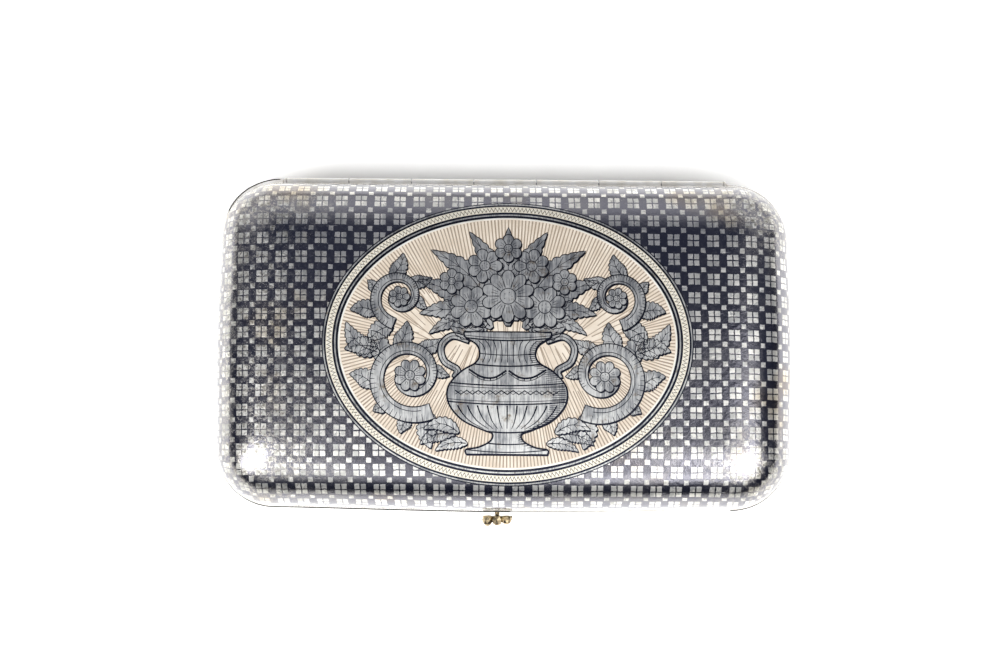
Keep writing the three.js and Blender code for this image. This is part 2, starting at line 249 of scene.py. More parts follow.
def lid_height(x, y):
    """The finished lid's height over points of the plan."""
    x = np.asarray(x, dtype=float)
    y = np.asarray(y, dtype=float)
    place_x = (x - GRID_X[0]) / GRID_PITCH
    place_y = (y - GRID_Y[0]) / GRID_PITCH
    cell_x = np.clip(place_x.astype(int), 1, len(GRID_X) - 3)
    cell_y = np.clip(place_y.astype(int), 1, len(GRID_Y) - 3)
    soft = np.zeros(np.broadcast(x, y).shape)
    for i, weight_x in enumerate(spline_weights(place_x - cell_x)):
        for j, weight_y in enumerate(spline_weights(place_y - cell_y)):
            soft = soft + weight_x * weight_y * LID_GRID[cell_x + i - 1, cell_y + j - 1]
    share = smooth_step(plan_inset(x, y), 3.5, 9.0)
    return lid_profile(x, y) * (1 - share) + soft * share


def sheet_normals(rings):
    """Outward normals of stacked rings, from the rings' own slopes."""
    along = np.roll(rings, -1, axis=1) - np.roll(rings, 1, axis=1)
    across = np.gradient(rings, axis=0)
    normal = np.cross(along, across)
    return normal / np.maximum(np.linalg.norm(normal, axis=2, keepdims=True), 1e-9)


def pattern_places(rings, edge):
    """Where each point lies in the flat pattern: its place in plan, drawn out to arc length where the sheet is steep."""
    places = rings[:, :, :2].copy()
    for i in range(edge - 1, -1, -1):
        out = rings[i] - rings[i + 1]
        flat = np.maximum(np.linalg.norm(out[:, :2], axis=1), 1e-6)
        tilt = np.degrees(np.arctan2(np.abs(out[:, 2]), flat))
        backward = smooth_step(out[:, 1] / flat, 0.2, 0.8)
        share = smooth_step(tilt, *STEEP_FRONT) * (1 - backward) + smooth_step(tilt, *STEEP_BACK) * backward
        stretch = 1 + share * (np.linalg.norm(out, axis=1) / flat - 1)
        places[i] = places[i + 1] + out[:, :2] * stretch[:, None]
    places[:, :, 1] += CLOSING * smooth_step(rings[:, :, 1], -4, 12)
    return places


def border_distance(rings, edge):
    """How far up the sheet each point lies from the line where the inlay starts; below 0 is the plain border."""
    steps = np.linalg.norm(np.diff(rings[: edge + 1], axis=0), axis=2)
    up = np.full(rings.shape[:2], 99.0)
    up[: edge + 1] = np.vstack([np.zeros(rings.shape[1]), np.cumsum(steps, axis=0)])
    at_back = smooth_step(rings[0, :, 1], BACK - 12, BACK - 3)
    at_left = smooth_step(-rings[0, :, 0], CORNER_X - 14, CORNER_X)
    return up - (BORDER_WIDTH + at_back * (BACK_BORDER + LEFT_BORDER * at_left))


def flared(ring):
    """A ring with its two back corners drawn out, as the base's worn rim shows behind the lid."""
    at_back = smooth_step(ring[:, 1], BACK - 11, BACK - 1.5)
    reach = smooth_step(np.abs(ring[:, 0]), CORNER_X - 8, CORNER_X + 1)
    amount = np.where(ring[:, 0] < 0, FLARE_LEFT, FLARE_RIGHT) * at_back * reach
    out = ring - np.column_stack([np.clip(ring[:, 0], -CORNER_X, CORNER_X), np.full(len(ring), CORNER_BACK)])
    return ring + out / np.linalg.norm(out, axis=1, keepdims=True) * amount[:, None]


def set_back(ring, amount):
    """A ring with its hinge side drawn in."""
    moved = ring.copy()
    moved[:, 1] -= amount * smooth_step(ring[:, 1], BACK - 7, BACK - 1)
    return moved


def sheet_piece(name, outer, inner, middles, pattern, materials, body, slot):
    """A closed sheet from outer and inner rings, both ordered from the foot to the middle."""
    count = outer.shape[1]
    stack = np.concatenate([outer[::-1], inner])
    points = np.vstack([stack.reshape(-1, 3), middles])
    faces = []
    slots = []
    here = np.arange(count)
    after = (here + 1) % count
    for band in range(len(stack) - 1):
        a = band * count
        b = a + count
        faces += np.column_stack([a + here, b + here, b + after, a + after]).tolist()
        slots += [0 if band < len(outer) - 1 else 1] * count
    top = len(points) - 2
    tail = (len(stack) - 1) * count
    faces += [(top, int(i), int(j)) for i, j in zip(here, after)]
    faces += [(top + 1, tail + int(j), tail + int(i)) for i, j in zip(here, after)]
    slots += [0] * count + [1] * count
    piece = new_piece(name, points, faces, materials, body, slot, slots, 60)
    places = np.vstack([pattern[::-1].reshape(-1, 2), inner[:, :, :2].reshape(-1, 2), np.zeros((2, 2))])
    flat = piece.data.attributes.new("pattern", "FLOAT_VECTOR", "POINT")
    flat.data.foreach_set("vector", np.column_stack([places, np.zeros(len(places))]).ravel())
    distance = border_distance(outer, SHOULDER_STEPS)[::-1].ravel()
    border = piece.data.attributes.new("border", "FLOAT", "POINT")
    border.data.foreach_set("value", np.concatenate([distance, np.full(inner.shape[0] * count + 2, 99.0)]))
    return piece


def cut_away(piece, *cutters):
    """Takes closed bodies out of a piece, and leaves no modifier behind."""
    for cutter in cutters:
        modifier = piece.modifiers.new("cut", "BOOLEAN")
        modifier.operation = "DIFFERENCE"
        modifier.solver = "EXACT"
        modifier.object = cutter
    bpy.context.view_layer.update()
    graph = bpy.context.evaluated_depsgraph_get()
    mesh = bpy.data.meshes.new_from_object(piece.evaluated_get(graph))
    piece.modifiers.clear()
    piece.data = mesh
    mesh.set_sharp_from_angle(angle=math.radians(35))
    for cutter in cutters:
        bpy.data.objects.remove(cutter)


def turned_points(profile, axis, place, steps=ROUND_STEPS, closed=False):
    """Points and faces of a body turned about an axis: profile rows are (distance along it, radius)."""
    angle = 2 * np.pi * np.arange(steps) / steps
    along = np.array(profile, dtype=float)
    u = np.roll(axis, 1)
    v = np.cross(axis, u)
    rings = [
        np.array(place) + np.array(axis) * d + r * (np.outer(np.cos(angle), u) + np.outer(np.sin(angle), v))
        for d, r in along
    ]
    faces = []
    here = np.arange(steps)
    after = (here + 1) % steps
    bands = len(rings) if closed else len(rings) - 1
    for band in range(bands):
        a = band * steps
        b = ((band + 1) % len(rings)) * steps
        faces += np.column_stack([a + here, a + after, b + after, b + here]).tolist()
    if not closed:
        faces += [tuple(int(i) for i in here[::-1]), tuple(int(i) for i in (len(rings) - 1) * steps + here)]
    return np.vstack(rings), faces


def turned_piece(node, profile, axis, place, material, slot, closed=False):
    """A turned piece that stands for a node and rides where that node rides."""
    points, faces = turned_points(profile, axis, place, closed=closed)
    piece = new_piece(node + "_turned", points, faces, [material], BODY_OF[node], slot)
    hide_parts(node)
    return piece


def cutter(profile, axis, place):
    points, faces = turned_points(profile, axis, place)
    mesh = bpy.data.meshes.new("cutter")
    mesh.from_pydata((points * MM).tolist(), [], faces)
    body = bpy.data.objects.new("cutter", mesh)
    bpy.context.scene.collection.objects.link(body)
    return body


# Materials

def colour(code):
    """An sRGB hex value as a linear colour."""
    channels = [int(code[i : i + 2], 16) / 255 for i in (1, 3, 5)]
    linear = [c / 12.92 if c <= 0.04045 else ((c + 0.055) / 1.055) ** 2.4 for c in channels]
    return (*linear, 1)


def new_material(name):
    material = bpy.data.materials.new(name)
    material.use_nodes = True
    return material, material.node_tree, material.node_tree.nodes["Principled BSDF"]


def add(tree, kind, inputs=(), **settings):
    """One node with its settings; each input is a value, a socket, or a node whose first output is meant."""
    node = tree.nodes.new(kind)
    for key, value in settings.items():
        setattr(node, key, value)
    pairs = inputs.items() if isinstance(inputs, dict) else enumerate(inputs)
    for key, value in pairs:
        if value is None:
            continue
        if isinstance(value, bpy.types.Node):
            value = value.outputs[0]
        if isinstance(value, bpy.types.NodeSocket):
            tree.links.new(value, node.inputs[key])
        else:
            node.inputs[key].default_value = value
    return node


def join(tree, source, target):
    tree.links.new(source.outputs[0] if isinstance(source, bpy.types.Node) else source, target)


MATH = "ShaderNodeMath"
VECTOR = "ShaderNodeVectorMath"
NOISE = "ShaderNodeTexNoise"
RANGE = "ShaderNodeMapRange"
MIX = "ShaderNodeMix"
BUMP = "ShaderNodeBump"

CHEQUER_PITCH = 3.705  # one 2 x 2 cluster of squares and one band of niello
CHEQUER_START = (2.67, -9.63, 0)  # the middle of one cluster
CHEQUER_SKEW = -0.013  # the engraver's columns lean a little to the left on their way back
CLUSTER_SQUARE = 0.97
CLUSTER_GAP = 0.24
CROSSING_SQUARE = 0.9


def mix_colour(tree, share, first, second):
    """Sockets of a colour mix."""
    return add(tree, MIX, {0: share, 6: first, 7: second}, data_type="RGBA").outputs[2]


def scratches(tree, place):
    """A mask of fine handling scratches: noise drawn out long in three directions and cut thin."""
    total = None
    for turn, cut in ((0.35, 0.7), (-0.6, 0.71), (1.45, 0.715)):
        turned = add(tree, "ShaderNodeMapping", {"Vector": place, "Rotation": (0, 0, turn), "Scale": (0.09, 2.6, 1)})
        streak = add(tree, NOISE, {"Vector": turned, "Scale": 1.0, "Detail": 3.0, "Roughness": 0.75})
        mask = add(tree, RANGE, [streak, cut, cut + 0.02, 0.0, 0.8])
        total = mask if total is None else add(tree, MATH, [total, mask], operation="MAXIMUM")
    return total.outputs[0]


def chequer_material():
    """Silver inlaid with niello: a blue-black glaze that mirrors the room, round squares left as brushed silver."""
    material, tree, shader = new_material("niello_inlaid_silver")
    flat = add(tree, "ShaderNodeAttribute", attribute_name="pattern").outputs["Vector"]
    drift = add(tree, NOISE, {"Vector": flat, "Scale": 0.11, "Detail": 1.0})
    drift = add(tree, VECTOR, [drift.outputs["Color"], (0.5, 0.5, 0.5)], operation="SUBTRACT")
    ragged = add(tree, NOISE, {"Vector": flat, "Scale": 1.6, "Detail": 2.0})
    ragged = add(tree, VECTOR, [ragged.outputs["Color"], (0.5, 0.5, 0.5)], operation="SUBTRACT")
    placed = add(tree, VECTOR, [flat, CHEQUER_START], operation="SUBTRACT")
    placed = add(tree, VECTOR, [drift, (0.4, 0.4, 0.4), placed], operation="MULTIPLY_ADD")
    placed = add(tree, VECTOR, [ragged, (0.24, 0.24, 0.24), placed], operation="MULTIPLY_ADD")
    placed = add(tree, VECTOR, {0: placed, "Scale": 1 / CHEQUER_PITCH}, operation="SCALE")
    axes = add(tree, "ShaderNodeSeparateXYZ", [placed]).outputs
    lean = add(tree, MATH, [axes[1], -CHEQUER_SKEW, axes[0]], operation="MULTIPLY_ADD")
    half = CLUSTER_SQUARE / 2 / CHEQUER_PITCH
    middle = (CLUSTER_GAP + CLUSTER_SQUARE) / 2 / CHEQUER_PITCH
    crossing = 0.5 - CROSSING_SQUARE / 2 / CHEQUER_PITCH
    edge = 0.008
    in_cluster = []
    in_crossing = []
    for axis in (lean, axes[1]):
        fold = add(tree, MATH, [axis, 0.5], operation="PINGPONG")
        off = add(tree, MATH, [fold, middle], operation="SUBTRACT")
        off = add(tree, MATH, [off], operation="ABSOLUTE")
        in_cluster.append(add(tree, RANGE, [off, half - edge, half + edge, 1.0, 0.0]))
        in_crossing.append(add(tree, RANGE, [fold, crossing - edge, crossing + edge, 0.0, 1.0]))
    cluster = add(tree, MATH, in_cluster, operation="MULTIPLY")
    cross = add(tree, MATH, in_crossing, operation="MULTIPLY")
    silver = add(tree, MATH, [cluster, cross], operation="MAXIMUM")

    own = add(tree, VECTOR, {0: placed, "Scale": 2.0}, operation="SCALE")
    own = add(tree, VECTOR, [own], operation="FLOOR")
    shade = add(tree, "ShaderNodeTexWhiteNoise", [own], noise_dimensions="3D")
    worn = add(tree, NOISE, {"Vector": flat, "Scale": 0.055, "Detail": 4.0, "Roughness": 0.6})
    fine = add(tree, NOISE, {"Vector": flat, "Scale": 3.5, "Detail": 4.0, "Roughness": 0.7})
    rubbed = add(tree, RANGE, [worn, 0.55, 0.72, 0.0, 0.7]).outputs[0]
    lines = scratches(tree, flat)

    cloud = add(tree, NOISE, {"Vector": flat, "Scale": 0.09, "Detail": 5.0, "Roughness": 0.65})
    haze = add(tree, RANGE, [cloud, 0.5, 0.75, 0.0, 0.6]).outputs[0]
    way_x, way_y, _ = add(tree, "ShaderNodeSeparateXYZ", [flat]).outputs
    corner = [
        add(tree, RANGE, [add(tree, MATH, [way], operation="ABSOLUTE"), start, start + 12, 0.0, 1.0])
        for way, start in ((way_x, 36), (way_y, 12))
    ]
    corner = add(tree, MATH, corner, operation="MULTIPLY")
    left_end = add(tree, RANGE, [way_x, -44, -28, 0.85, 0.0])
    corner = add(tree, MATH, [corner, left_end], operation="MAXIMUM")
    border = add(tree, "ShaderNodeAttribute", attribute_name="border").outputs["Fac"]
    corner = add(tree, MATH, [corner, add(tree, RANGE, [border, 2, 8, 0.3, 1.0])], operation="MULTIPLY")
    mottled = add(tree, NOISE, {"Vector": flat, "Scale": 0.6, "Detail": 5.0, "Roughness": 0.75})
    mottled = add(tree, RANGE, [mottled, 0.45, 0.58, 0.0, 0.85])
    mottled = add(tree, MATH, [corner, mottled], operation="MULTIPLY")
    chips = add(tree, NOISE, {"Vector": flat, "Scale": 1.3, "Detail": 4.0, "Roughness": 0.75})
    chips = add(tree, RANGE, [chips, 0.51, 0.57, 0.0, 0.85])
    chips = add(tree, MATH, [corner, chips], operation="MULTIPLY").outputs[0]
    haze = add(tree, MATH, [mottled, haze], operation="MAXIMUM").outputs[0]
    pits = add(tree, NOISE, {"Vector": flat, "Scale": 2.4, "Detail": 3.0, "Roughness": 0.8})
    pits = add(tree, RANGE, [pits, 0.57, 0.67, 0.0, 0.8]).outputs[0]
    square = mix_colour(tree, shade.outputs[0], colour("#c2c2bd"), colour("#fbf8ee"))
    square = mix_colour(tree, haze, square, colour("#a9a79f"))
    square = mix_colour(tree, pits, square, colour("#8f8b83"))
    square = mix_colour(tree, rubbed, square, colour("#d3c1a0"))
    square = mix_colour(tree, chips, square, colour("#5c564c"))
    glaze = mix_colour(tree, fine, colour("#6d6c74"), colour("#8b8a90"))
    glaze = mix_colour(tree, haze, glaze, colour("#9f9c97"))
    glaze = mix_colour(tree, pits, glaze, colour("#9b9998"))
    glaze = mix_colour(tree, rubbed, glaze, colour("#8d8072"))
    glaze = mix_colour(tree, chips, glaze, colour("#cfcabf"))
    glaze = mix_colour(tree, lines, glaze, colour("#d0d0d0"))
    inlaid = mix_colour(tree, silver.outputs[0], glaze, square)

    inside = add(tree, RANGE, [border, -0.02, 0.02, 0.0, 1.0]).outputs[0]
    plain = add(tree, RANGE, [border, -0.16, -0.1, 1.0, 0.0]).outputs[0]
    edging = mix_colour(tree, plain, colour("#4a4440"), colour("#f1efe8"))
    join(tree, mix_colour(tree, inside, edging, inlaid), shader.inputs["Base Color"])
    shader.inputs["Metallic"].default_value = 1.0
    rough = add(tree, RANGE, [silver, 0.0, 1.0, 0.1, 0.3])
    rough = add(tree, MATH, [haze, 0.16, rough], operation="MULTIPLY_ADD")
    rough = add(tree, MATH, [pits, 0.12, rough], operation="MULTIPLY_ADD")
    rough = add(tree, MATH, [fine, 0.08, rough], operation="MULTIPLY_ADD")
    join(tree, rough, shader.inputs["Roughness"])
    wavy = add(tree, NOISE, {"Vector": flat, "Scale": 1.1, "Detail": 4.0, "Roughness": 0.65})
    height = add(tree, MATH, [fine, 0.25, silver], operation="MULTIPLY_ADD")
    height = add(tree, MATH, [wavy, 6.0, height], operation="MULTIPLY_ADD")
    height = add(tree, MATH, [lines, -1.2, height], operation="MULTIPLY_ADD")
    raised = add(tree, BUMP, {"Strength": 0.35, "Distance": 0.02 * MM, "Height": height})
    join(tree, raised, shader.inputs["Normal"])
    return material


def metal_material(name, light, dark, rough, spread, bump, scale=0.4, metallic=1.0, streak=0, tarnish=None):
    """A metal of two close tones that drift over it, with fine wear in its polish and, if asked, streaks and spots."""
    material, tree, shader = new_material(name)
    place = add(tree, "ShaderNodeTexCoord").outputs["Object"]
    place = add(tree, VECTOR, {0: place, "Scale": 1 / MM}, operation="SCALE")
    broad = add(tree, NOISE, {"Vector": place, "Scale": scale, "Detail": 3.0})
    fine = add(tree, NOISE, {"Vector": place, "Scale": scale * 12, "Detail": 3.0})
    share = add(tree, RANGE, [broad, 0.35, 0.7, 0.0, 1.0]).outputs[0]
    if streak:
        drawn = add(tree, "ShaderNodeMapping", {"Vector": place, "Scale": (3.2, 0.22, 0.22)})
        drawn = add(tree, NOISE, {"Vector": drawn, "Scale": 1.0, "Detail": 4.0, "Roughness": 0.7})
        drawn = add(tree, RANGE, [drawn, 0.3, 0.7, -streak, streak])
        share = add(tree, MATH, [share, drawn], operation="ADD", use_clamp=True).outputs[0]
    tone = mix_colour(tree, share, colour(light), colour(dark))
    if tarnish:
        spots = add(tree, NOISE, {"Vector": place, "Scale": 0.35, "Detail": 5.0, "Roughness": 0.75})
        spots = add(tree, RANGE, [spots, 0.58, 0.7, 0.0, 0.8]).outputs[0]
        tone = mix_colour(tree, spots, tone, colour(tarnish))
    join(tree, tone, shader.inputs["Base Color"])
    shader.inputs["Metallic"].default_value = metallic
    gloss = add(tree, RANGE, [fine, 0.3, 0.75, rough, rough + spread])
    join(tree, gloss, shader.inputs["Roughness"])
    height = add(tree, BUMP, {"Strength": 0.5, "Distance": bump * MM, "Height": fine})
    join(tree, height, shader.inputs["Normal"])
    return material


CHEQUER = chequer_material()
SILVER = metal_material("polished_silver", "#f8f6f0", "#dcd6ca", 0.1, 0.12, 0.004)
GILT = metal_material("fire_gilt_silver", "#e8cf94", "#cfae6c", 0.2, 0.16, 0.006)
GOLD = metal_material("worn_gold", "#b5a585", "#73634b", 0.14, 0.2, 0.01, 1.5)
SATIN = metal_material("satin_silver", "#fcfaf5", "#ebe6db", 0.45, 0.12, 0.004, metallic=0.6)
STEEL = metal_material("spring_steel", "#a9adb4", "#7d8088", 0.28, 0.18, 0.004)
GROUND = metal_material("engraved_ground", "#efe4d5", "#decfbd", 0.6, 0.15, 0.01, metallic=0.05)
CREAM = metal_material("milled_border", "#f4eee0", "#d8d0be", 0.42, 0.15, 0.01, 3.0, metallic=0.15)
# The bright cut edge of the border, and the painted highlight beside the zigzag
SPARK = metal_material("cut_edge_and_painted_glint", "#fbfaf4", "#ebe7da", 0.35, 0.15, 0.01, metallic=0.3)
MOTIF = metal_material(
    "engraved_silver", "#d2d2ce", "#858789", 0.4, 0.15, 0.012, 0.3, streak=0.8, tarnish="#75644c")
LINE = metal_material("niello_line", "#262936", "#34353f", 0.25, 0.15, 0.004)
HATCH = metal_material("ground_line", "#a3917f", "#b4a491", 0.45, 0.15, 0.004, metallic=0.05)
# A dark finish that paints the shade in the joint between the two rims, with old dirt in it
JOINT_SHADE_AND_DIRT = metal_material("joint_shade_and_dirt", "#2e2a26", "#4a443c", 0.6, 0.2, 0.01, 2.0, metallic=0.0)
TRENCH = metal_material("cut_zigzag", "#4a4033", "#6c5f4c", 0.5, 0.15, 0.004, 2.0, metallic=0.3)


# The two sheets

def lid_sheet():
    foot = np.linspace(0, SHOULDER_SWEEP, SHOULDER_STEPS + 1)
    rings = []
    for angle in foot:
        inset = LID_INSET + SHOULDER_WIDTH * (1 - math.cos(angle))
        ring = plan_ring(inset)
        exact = LID_FOOT + SHOULDER_HEIGHT * math.sin(angle)
        share = smooth_step(inset, 2.5, 4.5)
        z = exact * (1 - share) + lid_height(ring[:, 0], ring[:, 1]) * share
        ring = set_back(ring, SHEET_SETBACK * (1 - smooth_step(inset, LID_INSET, 6.0)))
        rings.append(np.column_stack([ring, z]))
    edge = rings[-1][:, :2]
    for i in range(1, CROWN_STEPS):
        ring = edge * (1 - i / CROWN_STEPS)
        rings.append(np.column_stack([ring, lid_height(ring[:, 0], ring[:, 1])]))
    outer = np.array(rings)
    inner = outer - WALL * sheet_normals(outer)
    inner[0, :, :2] = set_back(plan_ring(LID_INSET + WALL), SHEET_SETBACK)
    inner[0, :, 2] = LID_FOOT
    top = float(lid_height(0, 0))
    middles = [(0, 0, top), (0, 0, top - WALL)]
    pattern = pattern_places(outer, SHOULDER_STEPS)
    piece = sheet_piece("lid_sheet", outer, inner, middles, pattern, [CHEQUER, GILT], "lid", "niello_silver")
    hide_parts("lid_shell")
    return piece


def base_sheet():
    angles = np.linspace(0, math.pi / 2, SHOULDER_STEPS + 1)
    top = RIM_LOW[2]

    def rings_at(depth):
        rings = []
        for angle in angles:
            normal = np.array([math.cos(angle) / BELLY_WIDTH, math.sin(angle) / top])
            normal /= np.linalg.norm(normal)
            ring = plan_ring(BELLY_INSET + BELLY_WIDTH * (1 - math.cos(angle)) + depth * normal[0])
            z = top * (1 - math.sin(angle)) + depth * normal[1]
            rings.append(np.column_stack([ring, np.full(len(ring), z)]))
        flat = rings[-1]
        for i in range(1, CROWN_STEPS):
            ring = flat.copy()
            ring[:, :2] *= 1 - i / CROWN_STEPS
            rings.append(ring)
        return np.array(rings)

    outer = rings_at(0)
    inner = rings_at(WALL)
    middles = [(0, 0, 0), (0, 0, WALL)]
    pattern = pattern_places(outer, SHOULDER_STEPS)
    piece = sheet_piece("base_sheet", outer, inner, middles, pattern, [CHEQUER, GILT], "base", "niello_silver")
    piece.data.flip_normals()
    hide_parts("base_shell")
    return piece


lid_sheet()
BASE_SHEET = base_sheet()


# Rims, bezel and hinge

def band_piece(name, section, material, body, slot, change=lambda ring: ring, reach=RIM_INNER, slope=0, start=None):
    """A band that follows the plan outline; section rows are (inset, height), anticlockwise seen from the end.

    Rings out to a reach are changed, and those over the start, or over the middle, slope down with the change.
    """
    middle = sum(z for _, z in section) / len(section) if start is None else start
    rings = []
    for inset, z in section:
        ring = plan_ring(inset)
        moved = change(ring) if inset < reach else ring
        drop = slope * np.linalg.norm(moved - ring, axis=1) * (z > middle)
        rings.append(np.column_stack([moved, z - drop]))
    count = len(rings[0])
    faces = []
    here = np.arange(count)
    after = (here + 1) % count
    for band in range(len(rings)):
        a = band * count
        b = ((band + 1) % len(rings)) * count
        faces += np.column_stack([a + here, b + here, b + after, a + after]).tolist()
    return new_piece(name, np.vstack(rings), faces, [material], body, slot, sharp=50)


def rounded(inset, z, from_degrees, radius=RIM_EDGE, steps=5):
    """Section points round an outer edge whose square corner would be at (inset, z)."""
    lift = -1 if from_degrees == 90 else 1
    centre = (inset + radius, z + lift * radius)
    angles = np.radians(from_degrees + 90 * np.arange(steps + 1) / steps)
    return [(centre[0] + radius * math.cos(a), centre[1] + radius * math.sin(a)) for a in angles]


def rim_section(outer, low, high):
    middle = (low + high) / 2
    face = [(outer - RIM_DOME, middle + 0.3), (outer - RIM_DOME, middle - 0.3)]
    top = [(RIM_INNER, high), (outer + 1.5 * RIM_EDGE, high), *rounded(outer, high, 90)]
    return [*top, *face, *rounded(outer, low, 180), (RIM_INNER, low)]


BARREL_LOW, BARREL_HIGH = corners("hinge_plug_left")[0], corners("hinge_plug_right")[1]
AXIS_Y = (BARREL_LOW[1] + BARREL_HIGH[1]) / 2
AXIS_Z = (BARREL_LOW[2] + BARREL_HIGH[2]) / 2
KNUCKLE_RADIUS = (BARREL_HIGH[2] - BARREL_LOW[2]) / 2


def groove():
    reach = BARREL_HIGH[0] + GROOVE_CLEARANCE
    radius = KNUCKLE_RADIUS + GROOVE_CLEARANCE
    return cutter([(-reach, radius), (reach, radius)], (1, 0, 0), (0, AXIS_Y, AXIS_Z))


for rim, rim_body, *shaping in (
    ("lid_rim", "lid", lambda ring: set_back(ring, RIM_SETBACK)),
    ("base_rim", "base", flared, 1.3 * RIM_EDGE, FLARE_SLOPE),
):
    low, high = corners(rim)
    outline = rim_section(HALF_LENGTH - high[0] + (LID_RIM_INSET if rim == "lid_rim" else 0), low[2], high[2])
    band = band_piece(rim + "_polished", outline, SILVER, rim_body, "plain_silver", *shaping)
    cut_away(band, groove())
    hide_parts(rim)

STEM_LOW, STEM_HIGH = corners("button_stem")
STEM_X = (STEM_LOW[0] + STEM_HIGH[0]) / 2
STEM_Z = (STEM_LOW[2] + STEM_HIGH[2]) / 2
cut_away(BASE_SHEET, cutter([(-2, HOLE_RADIUS), (4, HOLE_RADIUS)], (0, 1, 0), (STEM_X, FRONT, STEM_Z)))

BEZEL_LOW, BEZEL_HIGH = corners("base_bezel")
bezel_section = [
    (BEZEL_INNER, BEZEL_HIGH[2]),
    *rounded(BEZEL_OUTER, BEZEL_HIGH[2], 90),
    (BEZEL_OUTER, BEZEL_LOW[2]),
    (BEZEL_INNER, BEZEL_LOW[2]),
]
bezel = band_piece("base_bezel_wall", bezel_section, GILT, "base", "gilt_silver")


def block_cutter(low, high):
    mesh = bpy.data.meshes.new("cutter")
    shape = bmesh.new()
    bmesh.ops.create_cube(shape, size=1, matrix=Matrix.Translation((low + high) / 2 * MM) @ Matrix.Diagonal(
        (*((high - low) * MM), 1)))
    shape.to_mesh(mesh)
    shape.free()
    body = bpy.data.objects.new("cutter", mesh)
    bpy.context.scene.collection.objects.link(body)
    return body


# Painted shade and old dirt in the joint between the two rims: a thin dark line in front and round the back left corner
joint = [(0.2, RIM_HIGH[2] + 0.03), (-0.02, RIM_HIGH[2] + 0.03), (-0.02, RIM_HIGH[2] - 0.2), (0.2, RIM_HIGH[2] - 0.2)]
line = band_piece("joint_shade_line", joint, JOINT_SHADE_AND_DIRT, "base", "plain_silver", flared, 1, FLARE_SLOPE, 0)
cut_away(
    line,
    block_cutter(Vector((-60, -17, 0)), Vector((60, 26.5, 20))),
    block_cutter(Vector((-44.5, 24, 1)), Vector((62, 40, 21))),
    block_cutter(Vector((1.5, -40, 2)), Vector((44, -25, 22))),
)

GROOVE_REACH = BARREL_HIGH[0] + GROOVE_CLEARANCE
hinge_side = block_cutter(
    Vector((-GROOVE_REACH, BACK - CORNER_RADIUS / 2, BEZEL_LOW[2] - 1)),
    Vector((GROOVE_REACH, BACK, BEZEL_HIGH[2] + 1)),
)
RIVETS = ("spring_rivet_outer", "spring_rivet_inner")
through = [(-2, HOLE_RADIUS), (4, HOLE_RADIUS)]
rivet_through = [(-2, RIVET_HOLE_RADIUS), (4, RIVET_HOLE_RADIUS)]
holes = [cutter(through, (0, 1, 0), (STEM_X, FRONT, STEM_Z))]
for rivet in RIVETS:
    low, high = corners(rivet)
    holes.append(cutter(rivet_through, (0, 1, 0), ((low[0] + high[0]) / 2, FRONT, STEM_Z)))
cut_away(bezel, hinge_side, *holes)
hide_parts("base_bezel")

BORE_RADIUS = 0.6
CHAMFER = 0.15
for name in frame["nodes"]:
    if "knuckle" not in name:
        continue
    low, high = corners(name)
    length = high[0] - low[0]
    tube = [(0, BORE_RADIUS)]
    tube += [(CHAMFER * (1 - math.cos(a)), KNUCKLE_RADIUS - CHAMFER * (1 - math.sin(a)))
             for a in np.radians([0, 30, 60, 90])]
    tube += [(length - d, r) for d, r in tube[::-1]]
    turned_piece(name, tube, (1, 0, 0), (low[0], AXIS_Y, AXIS_Z), SATIN, "plain_silver", True)

for side, name in ((-1, "hinge_plug_left"), (1, "hinge_plug_right")):
    low, high = corners(name)
    length = high[0] - low[0]
    dome = [(0, KNUCKLE_RADIUS)] + [
        (length * (0.45 + 0.55 * math.sin(a)), KNUCKLE_RADIUS * math.cos(a)) for a in np.radians(np.arange(0, 89, 8))
    ]
    start = high[0] if side < 0 else low[0]
    turned_piece(name, dome, (side, 0, 0), (start, AXIS_Y, AXIS_Z), SATIN, "plain_silver")

low, high = corners("hinge_pin")
pin_radius = (high[2] - low[2]) / 2
pin_length = high[0] - low[0]
pin = [(0, pin_radius * 0.8), (0.15, pin_radius), (pin_length - 0.15, pin_radius), (pin_length, pin_radius * 0.8)]
turned_piece("hinge_pin", pin, (1, 0, 0), (low[0], AXIS_Y, AXIS_Z), STEEL, "spring_steel")


# The engraved oval

def oval(inset, angle):
    return np.column_stack([
        OVAL_CENTRE[0] + (OVAL_X - inset) * np.cos(angle),
        OVAL_CENTRE[1] + (OVAL_Y - inset) * np.sin(angle),
    ])


# Each ring of the border: its width, its height over the lid and its finish
BORDER = [
    (0.22, 0.02, LINE),
    (0.24, 0.05, MOTIF),
    (0.34, 0.02, LINE),
    (1.2, 0.05, CREAM),
    (0.4, 0.02, LINE),
    (0.26, 0.05, MOTIF),
    (0.44, 0.02, LINE),
    (0.3, 0.05, SPARK),
]
GROUND_INSET = sum(width for width, _, _ in BORDER)
GROUND_HEIGHT = 0.03
PLATE_FOOT = -0.04
MEDALLION_FOOT = -0.08


def conform(points, height):
    """Plan points laid on the lid, a small height over it."""
    points = np.asarray(points)
    return np.column_stack([points, lid_height(points[:, 0], points[:, 1]) + height])


